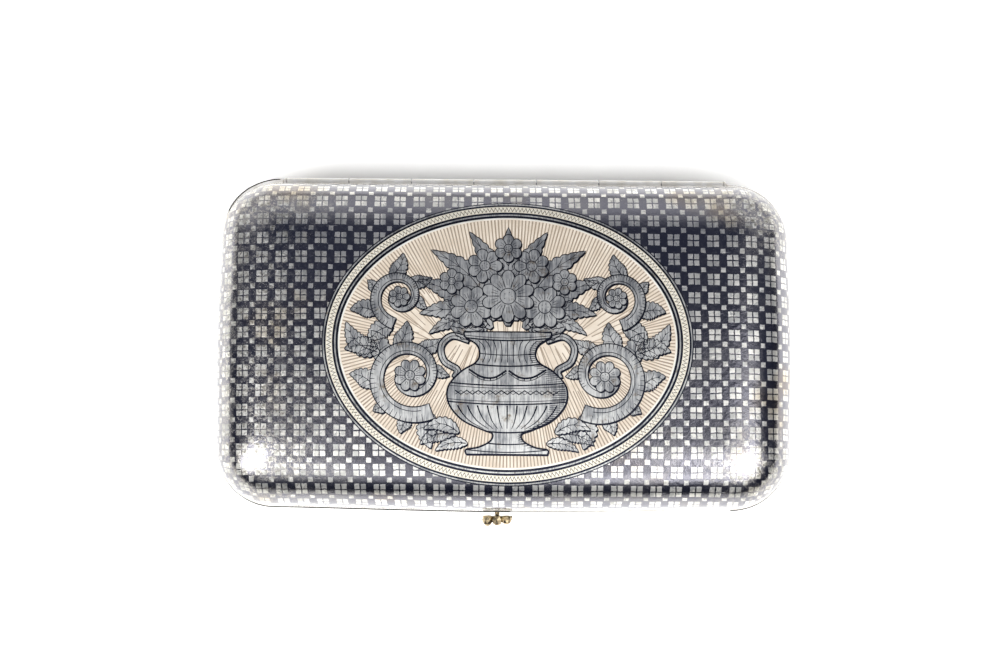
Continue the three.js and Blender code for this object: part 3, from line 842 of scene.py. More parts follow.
def medallion():
    """The oval itself: raised and sunk rings round a ground, closed underneath inside the lid's sheet."""
    steps = 360
    angle = 2 * np.pi * np.arange(steps) / steps
    finishes = [CREAM, LINE, MOTIF, SPARK, GROUND]
    rings = [conform(oval(0, angle), MEDALLION_FOOT)]
    slots = []
    inset = 0
    for width, height, finish in BORDER:
        parts = max(1, round(width / 0.4))
        for i in range(parts + 1):
            shift = 0.01 if i == 0 else -0.01 if i == parts else 0
            rings.append(conform(oval(inset + width * i / parts + shift, angle), height))
            slots.append(finishes.index(finish))
        inset += width
    ground_rings = 48
    for i in range(ground_rings):
        share = 1 - i / ground_rings
        ring = (oval(inset + 0.01, angle) - OVAL_CENTRE) * share + OVAL_CENTRE
        rings.append(conform(ring, GROUND_HEIGHT))
        slots.append(finishes.index(GROUND))
    bands = len(rings) - 1
    for i in range(ground_rings - 1, 0, -2):
        ring = (oval(0, angle) - OVAL_CENTRE) * (1 - i / ground_rings) + OVAL_CENTRE
        rings.append(conform(ring, MEDALLION_FOOT))
    stack = np.array(rings)
    faces = []
    here = np.arange(steps)
    after = (here + 1) % steps
    joins = [(band, band + 1) for band in range(bands)]
    joins += [(band, band + 1) for band in range(bands + 1, len(stack) - 1)] + [(len(stack) - 1, 0)]
    for low, high in joins:
        a = low * steps
        b = high * steps
        faces += np.column_stack([a + here, a + after, b + after, b + here]).tolist()
    face_slots = [slot for slot in slots for _ in here] + [0] * steps * (len(joins) - bands)
    middles = np.vstack([conform([OVAL_CENTRE], GROUND_HEIGHT), conform([OVAL_CENTRE], MEDALLION_FOOT)])
    points = np.vstack([stack.reshape(-1, 3), middles])
    top = len(points) - 2
    faces += [(top, bands * steps + int(i), bands * steps + int(j)) for i, j in zip(here, after)]
    faces += [(top + 1, (bands + 1) * steps + int(j), (bands + 1) * steps + int(i)) for i, j in zip(here, after)]
    face_slots += [finishes.index(GROUND)] * 2 * steps
    return new_piece("medallion", points, faces, finishes, "lid", "niello_silver", face_slots, 30)


medallion()


def plate(points, faces, height):
    """A thin closed plate from a flat outline mesh, laid on the lid with its foot inside the medallion."""
    count = len(points)
    edges = {(a, b) for face in faces for a, b in zip(face, (*face[1:], face[0]))}
    walls = [(b, a, a + count, b + count) for a, b in sorted(edges) if (b, a) not in edges]
    under = [tuple(i + count for i in face[::-1]) for face in faces]
    return np.vstack([conform(points, height), conform(points, PLATE_FOOT)]), [*faces, *under, *walls]


def ribbon(points, widths, height):
    """A flat strip along a line of plan points."""
    points = np.asarray(points, dtype=float)
    widths = np.broadcast_to(widths, len(points))[:, None]
    along = np.gradient(points, axis=0)
    along /= np.maximum(np.linalg.norm(along, axis=1, keepdims=True), 1e-9)
    across = np.column_stack([-along[:, 1], along[:, 0]])
    strip = np.vstack([points - across * widths / 2, points + across * widths / 2])
    count = len(points)
    return plate(strip, [(i, i + 1, count + i + 1, count + i) for i in range(count - 1)], height)


def filled(outline, height):
    """A plate over a closed outline, with points inside it so that it follows the lid."""
    outline = np.asarray(outline, dtype=float)
    after = np.roll(outline, -1, axis=0)
    if (outline[:, 0] * after[:, 1] - after[:, 0] * outline[:, 1]).sum() < 0:
        outline = outline[::-1]
        after = np.roll(outline, -1, axis=0)
    low = outline.min(axis=0)
    high = outline.max(axis=0)
    grid_x, grid_y = np.meshgrid(np.arange(low[0] + 0.5, high[0], 1.1), np.arange(low[1] + 0.5, high[1], 1.1))
    grid = np.column_stack([grid_x.ravel(), grid_y.ravel()])
    crosses = (outline[:, 1] > grid[:, 1:2]) != (after[:, 1] > grid[:, 1:2])
    rise = after[:, 1] - outline[:, 1]
    slope = (after[:, 0] - outline[:, 0]) / np.where(np.abs(rise) < 1e-9, 1e-9, rise)
    hit_x = outline[:, 0] + (grid[:, 1:2] - outline[:, 1]) * slope
    inside = (crosses & (grid[:, 0:1] < hit_x)).sum(axis=1) % 2 == 1
    given = [Vector(p) for p in np.vstack([outline, grid[inside]])]
    points, _, faces, *_ = delaunay_2d_cdt(given, [], [list(range(len(outline)))], 1, 1e-5)
    return plate(np.array([tuple(p) for p in points]), [tuple(face) for face in faces], height)


def gather(name, parts, material):
    """One piece from many plates."""
    points = []
    faces = []
    start = 0
    for some_points, some_faces in parts:
        points.append(some_points)
        faces += [tuple(start + i for i in face) for face in some_faces]
        start += len(some_points)
    return new_piece(name, np.vstack(points), faces, [material], "lid", "niello_silver")


HATCH_PITCH = 0.66
ZIGZAG_PITCH = 0.72
ZIGZAG_SWING = 0.38


def even_angles(inset, pitch):
    """Angles that divide the oval into equal lengths of about one pitch, in multiples of four."""
    fine = np.linspace(0, 2 * np.pi, 2881)
    length = np.concatenate([[0], np.cumsum(np.linalg.norm(np.diff(oval(inset, fine), axis=0), axis=1))])
    count = 4 * round(length[-1] / pitch / 4)
    return np.interp(np.arange(count) / count * length[-1], length, fine)


def ground_hatch():
    """Fine lines square to the oval's edge; where they crowd together inwards, every second one stops."""
    a = OVAL_X - GROUND_INSET
    b = OVAL_Y - GROUND_INSET
    t = np.linspace(0, 1, 18)[:, None]
    lines = []
    for i, angle in enumerate(even_angles(GROUND_INSET, HATCH_PITCH)):
        start = oval(GROUND_INSET + 0.1, np.array([angle]))[0]
        turn = angle + 0.02 * math.sin(0.83 * i) + 0.02 * math.sin(0.21 * i)
        inward = -np.array([math.cos(turn) / a, math.sin(turn) / b])
        inward /= np.linalg.norm(inward)
        bend_radius = ((a * math.sin(angle)) ** 2 + (b * math.cos(angle)) ** 2) ** 1.5 / (a * b)
        depth = bend_radius * (0.92, 0.34, 0.6, 0.34, 0.78, 0.34, 0.6, 0.34)[i % 8]
        depth = min(depth, 0.96 * b * math.hypot(b * math.cos(angle), a * math.sin(angle)) / a)
        widths = 0.25 - 0.08 * t[:, 0] + 0.03 * np.sin(9 * t[:, 0] + i)
        lines.append(ribbon(start + inward * depth * t, widths, GROUND_HEIGHT + 0.015))
    return gather("ground_hatch", lines, HATCH)


def border_zigzag():
    """A dark zigzag with a painted highlight beside it: a bright line for the glint on its cut edge."""
    middle = sum(width for width, _, _ in BORDER[:3]) + BORDER[3][0] / 2
    angles = even_angles(middle, ZIGZAG_PITCH / 2)
    angles = np.append(angles, 2 * np.pi + angles[:2])
    swing = np.where(np.arange(len(angles)) % 2, ZIGZAG_SWING, -ZIGZAG_SWING)
    for name, shift, width, finish in (("border_zigzag", 0, 0.25, TRENCH), ("border_zigzag_highlight", 0.007, 0.16, SPARK)):
        points = np.array([oval(middle + s, np.array([a + shift]))[0] for a, s in zip(angles, swing)])
        gather(name, [ribbon(points, width, 0.062 + 0.5 * shift)], finish)


ground_hatch()
border_zigzag()


# The engraved picture: an urn with flowers between leafy scrolls. Places are millimetres from the oval's middle.

FILL_HEIGHT = 0.055
LAYER_STEP = 0.03
INK_STEP = 0.014
SHADE = np.array([0.18, -0.24])  # how far the dark edge of each figure shows past its lower right side
LEAF_MARGIN = 0.7  # leaves stop this far short of the border


def curve(points, steps=10, closed=False):
    """A smooth line through given points."""
    p = np.asarray(points, dtype=float)
    if closed:
        p = np.vstack([p[-1], p, p[:2]])
    else:
        p = np.vstack([2 * p[0] - p[1], p, 2 * p[-1] - p[-2]])
    t = np.linspace(0, 1, steps, endpoint=False)[:, None]
    parts = []
    for a, b, c, d in zip(p, p[1:], p[2:], p[3:]):
        bend = (2 * a - 5 * b + 4 * c - d) * t**2 + (3 * b - a - 3 * c + d) * t**3
        parts.append(b + ((c - a) * t + bend) / 2)
    return np.vstack(parts if closed else [*parts, p[-2]])


class Engraving:
    """The picture's silver plates and dark lines, kept until they are gathered into one piece each."""

    def __init__(self):
        self.silver = []
        self.ink = []
        self.sides = (1,)

    def line(self, points, widths, layer):
        for side in self.sides:
            placed = np.asarray(points) * (side, 1) + OVAL_CENTRE
            self.ink.append(ribbon(placed, widths, FILL_HEIGHT + layer * LAYER_STEP + INK_STEP))

    def figure(self, outline, layer, edge=0.2):
        """A silver shape with a dark outline and a heavier dark edge below and to its right."""
        outline = np.asarray(outline)
        height = FILL_HEIGHT + layer * LAYER_STEP
        for side in self.sides:
            placed = outline * (side, 1) + OVAL_CENTRE
            self.silver.append(filled(placed, height))
            self.ink.append(filled(placed + SHADE, height - INK_STEP / 2))
        self.line(np.vstack([outline, outline[:2]]), edge, layer)

    def leaf(self, base, tip, width, bend, layer, lobes=0):
        base = np.array(base, dtype=float)
        along = np.array(tip) - base
        limit = np.array([OVAL_X, OVAL_Y]) - GROUND_INSET - LEAF_MARGIN
        while np.hypot(*((base + along) / limit)) > 1 and np.linalg.norm(along) > 1.5:
            along *= 0.95
            width *= 0.965
        side = np.array([-along[1], along[0]])
        t = np.linspace(0, 1, 6 * max(lobes, 4) + 1)[:, None]
        spine = base + along * t + side * bend * np.sin(np.pi * t)
        way = np.gradient(spine, axis=0)
        way /= np.linalg.norm(way, axis=1, keepdims=True)
        across = np.column_stack([-way[:, 1], way[:, 0]])
        half = width / 2 * np.sin(np.pi * np.clip(t, 0.02, 1) ** 0.75) ** 0.85
        half *= 1 - 0.24 * np.cos(2 * np.pi * lobes * t) ** 2 if lobes else 1
        self.figure(np.vstack([spine - across * half, (spine + across * half)[::-1][1:]]), layer, 0.17)
        last = len(t) * 5 // 6
        self.line(spine[1:last], np.linspace(0.2, 0.08, last - 1), layer)
        veins = max(lobes, 3)
        for k in range(1, veins + 1):
            root = int(len(t) * (k - 0.4) / (veins + 1))
            reach = min(root + len(t) // (veins + 3), len(t) - 2)
            for turn in (-0.72, 0.72):
                end = spine[reach] + across[reach] * half[reach] * turn
                self.line([spine[root], (spine[root] + end) / 2 + way[root] * 0.1, end], [0.13, 0.1, 0.07], layer)

    def rosette(self, middle, radius, petals, layer):
        middle = np.array(middle, dtype=float)
        angle = np.linspace(0, 2 * np.pi, petals * 10, endpoint=False)
        ray = np.column_stack([np.cos(angle), np.sin(angle)])
        reach = radius * (0.74 + 0.26 * np.abs(np.sin(petals * angle / 2)) ** 0.7)
        self.figure(middle + ray * reach[:, None], layer, 0.17)
        for k in range(petals):
            for turn, near, far in ((0, 0.34, 0.72), (0.36, 0.42, 0.66), (-0.36, 0.42, 0.66)):
                a = 2 * np.pi * (k + turn) / petals
                way = np.array([math.cos(a), math.sin(a)])
                width = 0.18 if turn == 0 else 0.09
                self.line([middle + way * radius * near, middle + way * radius * far], [width, width * 0.6], layer)
        ring = np.column_stack([np.cos(angle), np.sin(angle)])
        self.line(middle + np.vstack([ring, ring[:2]]) * radius * 0.3, 0.15, layer)
        for k in range(5):
            a = 2 * np.pi * k / 5
            dot = middle + np.array([math.cos(a), math.sin(a)]) * radius * 0.15
            self.line([dot - (0.08, 0), dot + (0.08, 0)], 0.14, layer)

    def scroll(self, middle, radii, start, sweep, widths, layer, leaves=()):
        """A leafy arm that winds in; leaves are (place along it, length, width, turn, bend)."""
        t = np.linspace(0, 1, 70)[:, None]
        angle = np.radians(start + sweep * t)
        radius = radii[0] + (radii[1] - radii[0]) * t**0.9
        line = np.array(middle) + radius * np.hstack([np.cos(angle), np.sin(angle)])
        way = np.gradient(line, axis=0)
        way /= np.linalg.norm(way, axis=1, keepdims=True)
        across = np.column_stack([-way[:, 1], way[:, 0]])
        half = (widths[0] + (widths[1] - widths[0]) * t) / 2
        outer = -math.copysign(1, sweep)
        for place, length, width, turn, bend in leaves:
            i = int(place * (len(t) - 1))
            tilt = math.radians(turn) * outer
            root = line[i] + across[i] * outer * half[i] * 0.4
            aim = way[i] * math.cos(tilt) + across[i] * math.sin(tilt)
            self.leaf(root, root + aim * length, width, bend * -outer, layer - 1, 4)
        self.figure(np.vstack([line - across * half, (line + across * half)[::-1]]), layer, 0.2)
        self.line(line[2:-2] - across[2:-2] * outer * half[2:-2] * 0.45, 0.14, layer)
        for i in range(2, len(t) * 2 // 3):
            edge = line[i] + across[i] * outer * half[i]
            self.line([edge, edge - across[i] * outer * half[i] * (0.75 + 0.25 * math.sin(i))], [0.15, 0.08], layer)


# Half widths of the urn at heights from its foot to its lip
URN = [
    (-21.0, 7.6), (-20.1, 7.6), (-19.7, 5.4), (-18.6, 3.2), (-17.2, 2.7), (-16.4, 4.6), (-14.6, 8.4), (-11.6, 10.9),
    (-8.4, 11.0), (-5.6, 8.6), (-4.0, 6.0), (-2.4, 5.2), (-0.6, 5.8), (0.8, 7.9), (1.8, 8.2),
]


def draw_urn(art):
    side = curve([(x, y) for y, x in URN], 6)
    art.figure(np.vstack([side, side[::-1] * (-1, 1)]), 2, 0.32)

    def half_at(y):
        return np.interp(y, side[:, 1], side[:, 0])

    def across(y, width):
        x = np.linspace(-1, 1, 15) * half_at(y)
        art.line(np.column_stack([x, y - 0.5 * (1 - (x / half_at(y)) ** 2) * min(half_at(y) / 8, 1)]), width, 2)

    for y, width in ((-20.1, 0.2), (-18.9, 0.24), (-16.7, 0.28), (-11.2, 0.26), (-10.7, 0.12), (-8.2, 0.12),
                     (-7.7, 0.26), (-4.2, 0.28), (-2.2, 0.16), (0.7, 0.26), (1.2, 0.12)):
        across(y, width)
    for share in np.linspace(-0.86, 0.86, 11):
        y = np.linspace(-16.2, -11.9, 9)
        art.line(np.column_stack([share * half_at(y), y]), np.linspace(0.12, 0.3, 9), 2)
    for share in np.linspace(-0.8, 0.8, 9):
        y = np.linspace(-3.9, 0.2, 7)
        art.line(np.column_stack([share * half_at(y), y]), 0.15, 2)
    steps = np.arange(-9, 10)
    wave = np.column_stack([steps * 1.08, -9.85 + 0.72 * (steps % 2)])
    art.line(wave, 0.24, 2)
    art.line(wave * (1, -1) + (0, -19.0), 0.12, 2)
    for y in np.arange(-19.6, 0.6, 0.36):
        x = half_at(y) * np.array([0.74, 0.97])
        art.line(np.column_stack([x, [y - 0.15, y]]), [0.08, 0.15], 2)
    art.sides = (1, -1)
    swag = curve([(0.2, -5.4), (2.4, -6.7), (4.8, -6.6), (7.2, -5.2)], 6)
    art.line(swag, 0.36, 2)
    art.line(swag + (0, -0.5), 0.14, 2)
    for place in swag[2:-2:3]:
        art.line([place, place - (0.1, 0.55)], [0.28, 0.1], 2)
    handle = curve([(7.2, 0.2), (10.4, 1.0), (12.4, -0.9), (11.8, -3.7), (9.4, -5.3), (9.8, -6.8)], 8)
    way = np.gradient(handle, axis=0)
    way /= np.linalg.norm(way, axis=1, keepdims=True)
    off = np.column_stack([-way[:, 1], way[:, 0]]) * 0.6
    art.figure(np.vstack([handle - off, (handle + off)[::-1]]), 1, 0.26)
    art.line(handle[2:-2], 0.12, 1)
    art.sides = (1,)


def draw_flowers(art):
    art.leaf((0, 3), (0, 21.9), 5.4, 0.0, 0, 5)
    art.sides = (1, -1)
    for base, tip, width, bend in (
        ((1.5, 4), (7.4, 21.0), 5.2, 0.1), ((2.5, 4), (14.6, 17.4), 5.4, 0.12), ((3.0, 2.5), (17.0, 11.6), 5.2, 0.1),
        ((4.0, 3), (16.6, 5.2), 4.8, 0.14), ((4.0, 2), (14.8, 1.4), 3.6, 0.2),
    ):
        art.leaf(base, tip, width, bend, 0, 6)
    art.rosette((6.9, 6.6), 4.0, 8, 1)
    art.rosette((4.4, 14.4), 3.3, 7, 1)
    art.rosette((10.6, 11.4), 2.4, 6, 1)
    art.leaf((4.6, 2.4), (10.8, 2.9), 2.6, -0.2, 1, 3)
    art.sides = (1,)
    art.rosette((0, 8.6), 5.0, 10, 2)
    art.rosette((0, 17.8), 2.7, 6, 2)


def draw_scrolls(art):
    art.sides = (1, -1)
    art.leaf((24.0, -2.2), (31.4, 4.6), 4.6, -0.16, 0, 5)
    art.leaf((24.4, -1.2), (31.6, -1.6), 4.2, 0.08, 0, 5)
    art.leaf((9.6, -17.2), (17.8, -19.6), 3.6, 0.12, 0, 5)
    low_leaves = [
        (0.0, 6.4, 4.4, 66, 0.14), (0.07, 6.6, 4.6, 58, 0.14), (0.14, 6.6, 4.6, 52, 0.14), (0.21, 6.4, 4.4, 48, 0.14),
        (0.29, 6.0, 4.2, 44, 0.14), (0.37, 5.6, 3.8, 42, 0.14), (0.46, 5.0, 3.2, 40, 0.14), (0.56, 3.8, 2.4, 38, 0.14),
    ]
    art.scroll((18.2, -6.4), (7.8, 1.9), -122, 500, (3.0, 1.1), 1, low_leaves)
    high_leaves = [
        (0.0, 5.6, 4.0, 56, 0.14), (0.1, 5.8, 4.0, 50, 0.14), (0.2, 5.6, 3.8, 46, 0.14), (0.31, 5.2, 3.4, 42, 0.14),
        (0.43, 4.4, 2.8, 40, 0.14), (0.55, 3.4, 2.2, 38, 0.14),
    ]
    art.scroll((20.4, 8.4), (5.2, 1.3), -80, 470, (2.2, 0.8), 1, high_leaves)
    art.rosette((18.2, -6.4), 3.0, 8, 2)
    art.rosette((20.4, 8.4), 2.0, 7, 2)
    art.leaf((9.0, -17.0), (15.6, -16.4), 3.0, 0.2, 2, 4)
    art.leaf((7.4, -19.0), (14.4, -20.6), 2.8, 0.12, 0, 4)
    art.sides = (1,)


def engraving():
    art = Engraving()
    draw_scrolls(art)
    draw_flowers(art)
    draw_urn(art)
    gather("engraved_figures", art.silver, MOTIF)
    gather("engraved_lines", art.ink, LINE)


engraving()


# The push piece and its catch

def join_up(piece, *others):
    """Welds closed bodies to a piece, and leaves no modifier behind."""
    for other in others:
        modifier = piece.modifiers.new("weld", "BOOLEAN")
        modifier.operation = "UNION"
        modifier.solver = "EXACT"
        modifier.object = other
    bpy.context.view_layer.update()
    mesh = bpy.data.meshes.new_from_object(piece.evaluated_get(bpy.context.evaluated_depsgraph_get()))
    piece.modifiers.clear()
    piece.data = mesh
    for other in others:
        bpy.data.objects.remove(other)


LOBE_FACETS = 7
LOBE_RINGS = [(1.0, 0.34), (0.8, 0.72), (0.34, 1.0), (-0.1, 0.92), (-0.3, 0.6)]  # share of its depth, of its radius


def lobe_points(place, radius, depth, turn):
    """A pebble with flat facets that faces the front, its rings of corners staggered."""
    points = []
    for i, (share, size) in enumerate(LOBE_RINGS):
        angle = 2 * np.pi * (np.arange(LOBE_FACETS) + i / 2) / LOBE_FACETS + turn
        points.append(np.column_stack([
            place[0] + radius[0] * size * np.cos(angle),
            np.full(LOBE_FACETS, place[1] - depth * share),
            place[2] + radius[1] * size * np.sin(angle),
        ]))
    faces = [tuple(range(LOBE_FACETS))[::-1], tuple(range(4 * LOBE_FACETS, 5 * LOBE_FACETS))]
    for ring in range(len(LOBE_RINGS) - 1):
        for i in range(LOBE_FACETS):
            a = ring * LOBE_FACETS + i
            b = ring * LOBE_FACETS + (i + 1) % LOBE_FACETS
            c = a + LOBE_FACETS
            d = b + LOBE_FACETS
            faces += [(a, b, c), (b, d, c)]
    return np.vstack(points), faces


def plain_body(points, faces):
    mesh = bpy.data.meshes.new("body")
    mesh.from_pydata((np.asarray(points) * MM).tolist(), [], faces)
    body = bpy.data.objects.new("body", mesh)
    bpy.context.scene.collection.objects.link(body)
    return body


def push_piece():
    """Three faceted lobes side by side, the right one held higher and closer to the rim."""
    low, high = corners("thumb_button")
    middle = (low + high) / 2
    foot = high[1] - 0.35
    reach = foot - low[1]
    lobes = []
    for shift, lift, depth, turn in ((-1.85, -0.25, 1.0, 0.3), (0, 0, 0.94, 0.75), (1.8, 0.3, 0.82, 0.1)):
        place = (middle[0] + shift, foot, middle[2] + lift)
        points, faces = lobe_points(place, (1.12, 1.2), reach * depth, turn)
        points[:, 1] = np.minimum(points[:, 1], high[1])  # the backs stop there, so that the rim leaves them their stroke
        lobes.append((points, faces))
    piece = new_piece("push_piece_faceted", *lobes[0], [GOLD], "catch", "gold", sharp=5)
    bar = [(x, high[1] - 0.04, z) for x in middle[0] + np.array([0.9, 2.95]) for z in middle[2] + np.array([-1.2, 0.1])]
    bar += [(x, foot - 0.2, z) for x, _, z in bar]
    bar_faces = [(0, 1, 3, 2), (4, 6, 7, 5), (0, 4, 5, 1), (2, 3, 7, 6), (0, 2, 6, 4), (1, 5, 7, 3)]
    join_up(piece, *[plain_body(*lobe) for lobe in lobes[1:]], plain_body(bar, bar_faces))
    piece.data.set_sharp_from_angle(angle=math.radians(5))
    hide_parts("thumb_button")


push_piece()

low, high = corners("button_stem")
stem = [(0, 0.36), (0.12, 0.5), (high[1] - low[1] - 0.12, 0.5), (high[1] - low[1], 0.38)]
turned_piece("button_stem", stem, (0, 1, 0), (STEM_X, low[1], STEM_Z), GOLD, "gold")
for name in RIVETS:
    low, high = corners(name)
    length = high[1] - low[1]
    dome = [(length - 0.35 + 0.35 * math.sin(a), 0.75 * math.cos(a)) for a in np.radians(np.arange(0, 85, 12))]
    rivet = [(0, 0.3), (0.06, 0.35), (length - 0.35, 0.35), *dome]
    place = ((low[0] + high[0]) / 2, low[1], (low[2] + high[2]) / 2)
    turned_piece(name, rivet, (0, 1, 0), place, STEEL, "spring_steel")

LEAF_STEPS = 48
LEAF_WALL = 0.28


def catch_leaf():
    """The catch's leaf spring, rounded at its ends, with holes for its rivets and the stem."""
    low, high = corners("catch_spring")
    middle_z = (low[2] + high[2]) / 2
    tall = (high[2] - low[2]) / 2
    x = low[0] + (high[0] - low[0]) * (1 - np.cos(np.pi * np.arange(LEAF_STEPS + 1) / LEAF_STEPS)) / 2
    from_end = np.minimum(x - low[0], high[0] - x)
    half = np.maximum(np.sqrt(np.clip(tall**2 - np.clip(tall - from_end, 0, tall) ** 2, 0, None)), 0.12)
    y = (high[1], high[1] - LEAF_WALL)
    rings = [(side, level) for side in (1, -1) for level in y]
    points = np.vstack([np.column_stack([x, np.full(len(x), level), middle_z + side * half]) for side, level in rings])
    count = len(x)
    faces = []
    for a, b in ((0, 1), (1, 3), (3, 2), (2, 0)):
        faces += [(a * count + i, a * count + i + 1, b * count + i + 1, b * count + i) for i in range(count - 1)]
    faces += [(0, count, 3 * count, 2 * count), (count - 1, 3 * count - 1, 4 * count - 1, 2 * count - 1)]
    leaf = new_piece("catch_leaf", points, faces, [STEEL], None, "spring_steel")
    shape = bmesh.new()
    shape.from_mesh(leaf.data)
    bmesh.ops.recalc_face_normals(shape, faces=shape.faces)
    shape.to_mesh(leaf.data)
    shape.free()
    through = [(-2, RIVET_HOLE_RADIUS), (4, RIVET_HOLE_RADIUS)]
    cuts = [cutter([(-2, HOLE_RADIUS), (4, HOLE_RADIUS)], (0, 1, 0), (STEM_X, low[1], STEM_Z))]
    for name in RIVETS:
        a, b = corners(name)
        cuts.append(cutter(through, (0, 1, 0), ((a[0] + b[0]) / 2, low[1], STEM_Z)))
    cut_away(leaf, *cuts)
    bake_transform(leaf)
    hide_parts("catch_spring")


catch_leaf()

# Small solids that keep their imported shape, with their edges rounded and a finish of their own
KEPT = {
    "lid_hinge_bearer": SILVER,
    "base_hinge_bearer": SILVER,
    "lid_keeper": SILVER,
    "catch_hook": STEEL,
}
for name, finish in KEPT.items():
    body = frame["nodes"][name]
    for i in range(len(body.material_slots)):
        body.material_slots[i].material = finish
    soften = body.modifiers.new("soft_edges", "BEVEL")
    soften.width = 0.12 * MM
    soften.segments = 3
    soften.limit_method = "ANGLE"

# Camera

CAMERA_AIM = Vector((-0.75, 2.75, 10)) * MM
CAMERA_ELEVATION = math.radians(84)
CAMERA_DISTANCE = 0.31
CAMERA_ROLL = math.radians(0.48)
CAMERA_LENS = 56.75

camera_data = bpy.data.cameras.new("camera")
camera_data.lens = CAMERA_LENS
camera_data.clip_start = 0.01
camera = bpy.data.objects.new("camera", camera_data)
bpy.context.scene.collection.objects.link(camera)
away = Vector((0, -math.cos(CAMERA_ELEVATION), math.sin(CAMERA_ELEVATION)))
camera.location = CAMERA_AIM + away * CAMERA_DISTANCE
camera.rotation_euler = (away.to_track_quat("Z", "Y") @ Matrix.Rotation(CAMERA_ROLL, 3, "Z").to_quaternion()).to_euler()
bpy.context.scene.camera = camera


# Floor, lamps and world

PAPER = 0.88
PAPER_EXPOSURE = 2.0  # the photographed paper is overexposed, so it shows lighter than it lights the box
FRONT_EXPOSURE = 1.0  # its light falls off past the picture's front and back edges
BACK_EXPOSURE = 0.45


def seen_ray(tree):
    """1 where the camera, a mirror or a glass looks, 0 where light is only scattered."""
    path = add(tree, "ShaderNodeLightPath")
    seen = add(tree, MATH, [path.outputs["Is Camera Ray"], path.outputs["Is Glossy Ray"]], operation="MAXIMUM")
    return add(tree, MATH, [seen, path.outputs["Is Transmission Ray"]], operation="MAXIMUM")


def floor():
    mesh = bpy.data.meshes.new("floor")
    shape = bmesh.new()
    bmesh.ops.create_circle(shape, cap_ends=True, radius=1.6, segments=64)
    shape.to_mesh(mesh)
    shape.free()
    table = bpy.data.objects.new("floor", mesh)
    table.location.z = -0.05 * MM
    bpy.context.scene.collection.objects.link(table)
    material, tree, shader = new_material("white_paper")
    shader.inputs["Roughness"].default_value = 0.9
    shader.inputs["Specular IOR Level"].default_value = 0.0
    along = add(tree, "ShaderNodeSeparateXYZ", [add(tree, "ShaderNodeTexCoord").outputs["Object"]]).outputs[1]
    shown = add(tree, RANGE, [along, -0.16, -0.07, PAPER * FRONT_EXPOSURE, PAPER * PAPER_EXPOSURE])
    shown = add(tree, MATH, [shown, add(tree, RANGE, [along, 0.055, 0.28, 1.0, BACK_EXPOSURE])], operation="MULTIPLY")
    white = add(tree, RANGE, [seen_ray(tree), 0.0, 1.0, PAPER, shown])
    join(tree, white, shader.inputs["Base Color"])
    mesh.materials.append(material)


def softbox(name, azimuth, elevation, width, height, radiance):
    """An oval lamp a metre away that faces the box; its azimuth runs from the right, anticlockwise seen from above."""
    azimuth = math.radians(azimuth)
    elevation = math.radians(elevation)
    flat = math.cos(elevation)
    way = Vector((flat * math.cos(azimuth), flat * math.sin(azimuth), math.sin(elevation)))
    data = bpy.data.lights.new(name, "AREA")
    data.shape = "ELLIPSE"
    data.size = width
    data.size_y = height
    data.energy = math.pi * (math.pi * width * height / 4) * radiance
    lamp = bpy.data.objects.new(name, data)
    lamp.location = way
    lamp.rotation_euler = way.to_track_quat("Z", "Y").to_euler()
    bpy.context.scene.collection.objects.link(lamp)


BACKDROP = 0.85
HORIZON = 1.4
FRONT_SCRIM = 0.8
CEILING = (0.056, 0.066, 0.118)
FILL = (0.07, 0.07, 0.07)


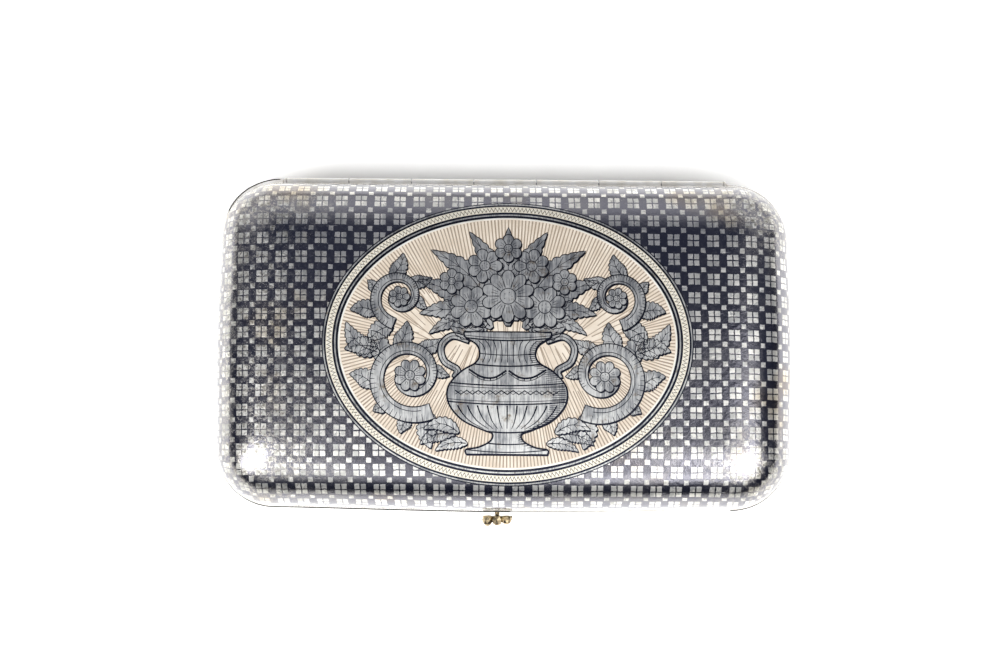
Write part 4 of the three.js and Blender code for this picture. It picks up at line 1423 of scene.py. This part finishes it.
def world():
    """A pale backdrop behind the box, a scrim high in front that is brighter to the right, and a dim ceiling."""
    sky = bpy.data.worlds.new("studio")
    sky.use_nodes = True
    tree = sky.node_tree
    place = add(tree, "ShaderNodeTexCoord").outputs["Generated"]
    x, y, z = add(tree, "ShaderNodeSeparateXYZ", [place]).outputs
    seen = seen_ray(tree)
    soft = {"interpolation_type": "SMOOTHSTEP"}
    behind = add(tree, RANGE, [y, 0.1, 0.5, 0.0, BACKDROP], **soft)
    low = add(tree, RANGE, [z, 0.46, 0.92, 1.0, 0.0], **soft)
    backdrop = add(tree, MATH, [behind, low], operation="MULTIPLY")
    rim = add(tree, RANGE, [z, 0.0, add(tree, RANGE, [x, -0.7, 0.7, 0.17, 0.07]), HORIZON, 0.0], **soft)
    rim = add(tree, MATH, [rim, add(tree, RANGE, [y, -0.7, -0.3, 0.0, 1.0], **soft)], operation="MULTIPLY")
    rim = add(tree, MATH, [rim, add(tree, RANGE, [y, 0.2, 0.7, 1.0, 0.5], **soft)], operation="MULTIPLY")
    backdrop = add(tree, MATH, [backdrop, rim], operation="MAXIMUM")
    backdrop = add(tree, MATH, [backdrop, seen], operation="MULTIPLY")
    ahead = add(tree, RANGE, [y, -0.3, -0.04, FRONT_SCRIM, 0.0], **soft)
    foot = add(tree, RANGE, [z, 0.42, 0.62, 0.0, 1.0], **soft)
    fade = add(tree, RANGE, [z, 0.68, 0.97, 1.6, 0.3])
    across = add(tree, RANGE, [x, -0.15, 0.2, 0.5, 1.5])
    scrim = add(tree, MATH, [ahead, foot], operation="MULTIPLY")
    scrim = add(tree, MATH, [scrim, fade], operation="MULTIPLY")
    light = add(tree, MATH, [scrim, across, backdrop], operation="MULTIPLY_ADD")
    high = add(tree, RANGE, [z, 0.8, 1.0, 0.0, 0.03])
    light = add(tree, MATH, [light, high], operation="ADD")
    white = add(tree, VECTOR, {0: (1, 1, 1), "Scale": light.outputs[0]}, operation="SCALE")
    dim = add(tree, RANGE, [z, 0.05, 0.5, 0.4, 1.0])
    ceiling = add(tree, VECTOR, {0: CEILING, "Scale": dim.outputs[0]}, operation="SCALE")
    ceiling = add(tree, MIX, {0: seen, 4: FILL, 5: ceiling}, data_type="VECTOR").outputs[1]
    total = add(tree, VECTOR, [white, ceiling], operation="ADD")
    join(tree, total, tree.nodes["Background"].inputs["Color"])
    bpy.context.scene.world = sky


floor()
softbox("left_softbox", -139, 52, 0.8, 0.46, 2.0)
softbox("left_upper", -150, 67, 0.34, 0.34, 1.8)
softbox("left_core", -150, 44, 0.6, 0.76, 2.7)
softbox("left_low", -146, 31, 0.4, 0.3, 2.2)
softbox("left_lower", -114, 41, 0.4, 0.17, 1.2)
softbox("right_softbox", -32, 59, 0.76, 0.62, 2.1)
softbox("right_core", -44, 53, 0.6, 0.42, 2.2)
softbox("right_side", -10, 46, 0.34, 0.28, 1.6)
softbox("right_lower", -66, 40, 0.52, 0.22, 2.0)
world()
bpy.context.scene.view_settings.view_transform = "Standard"
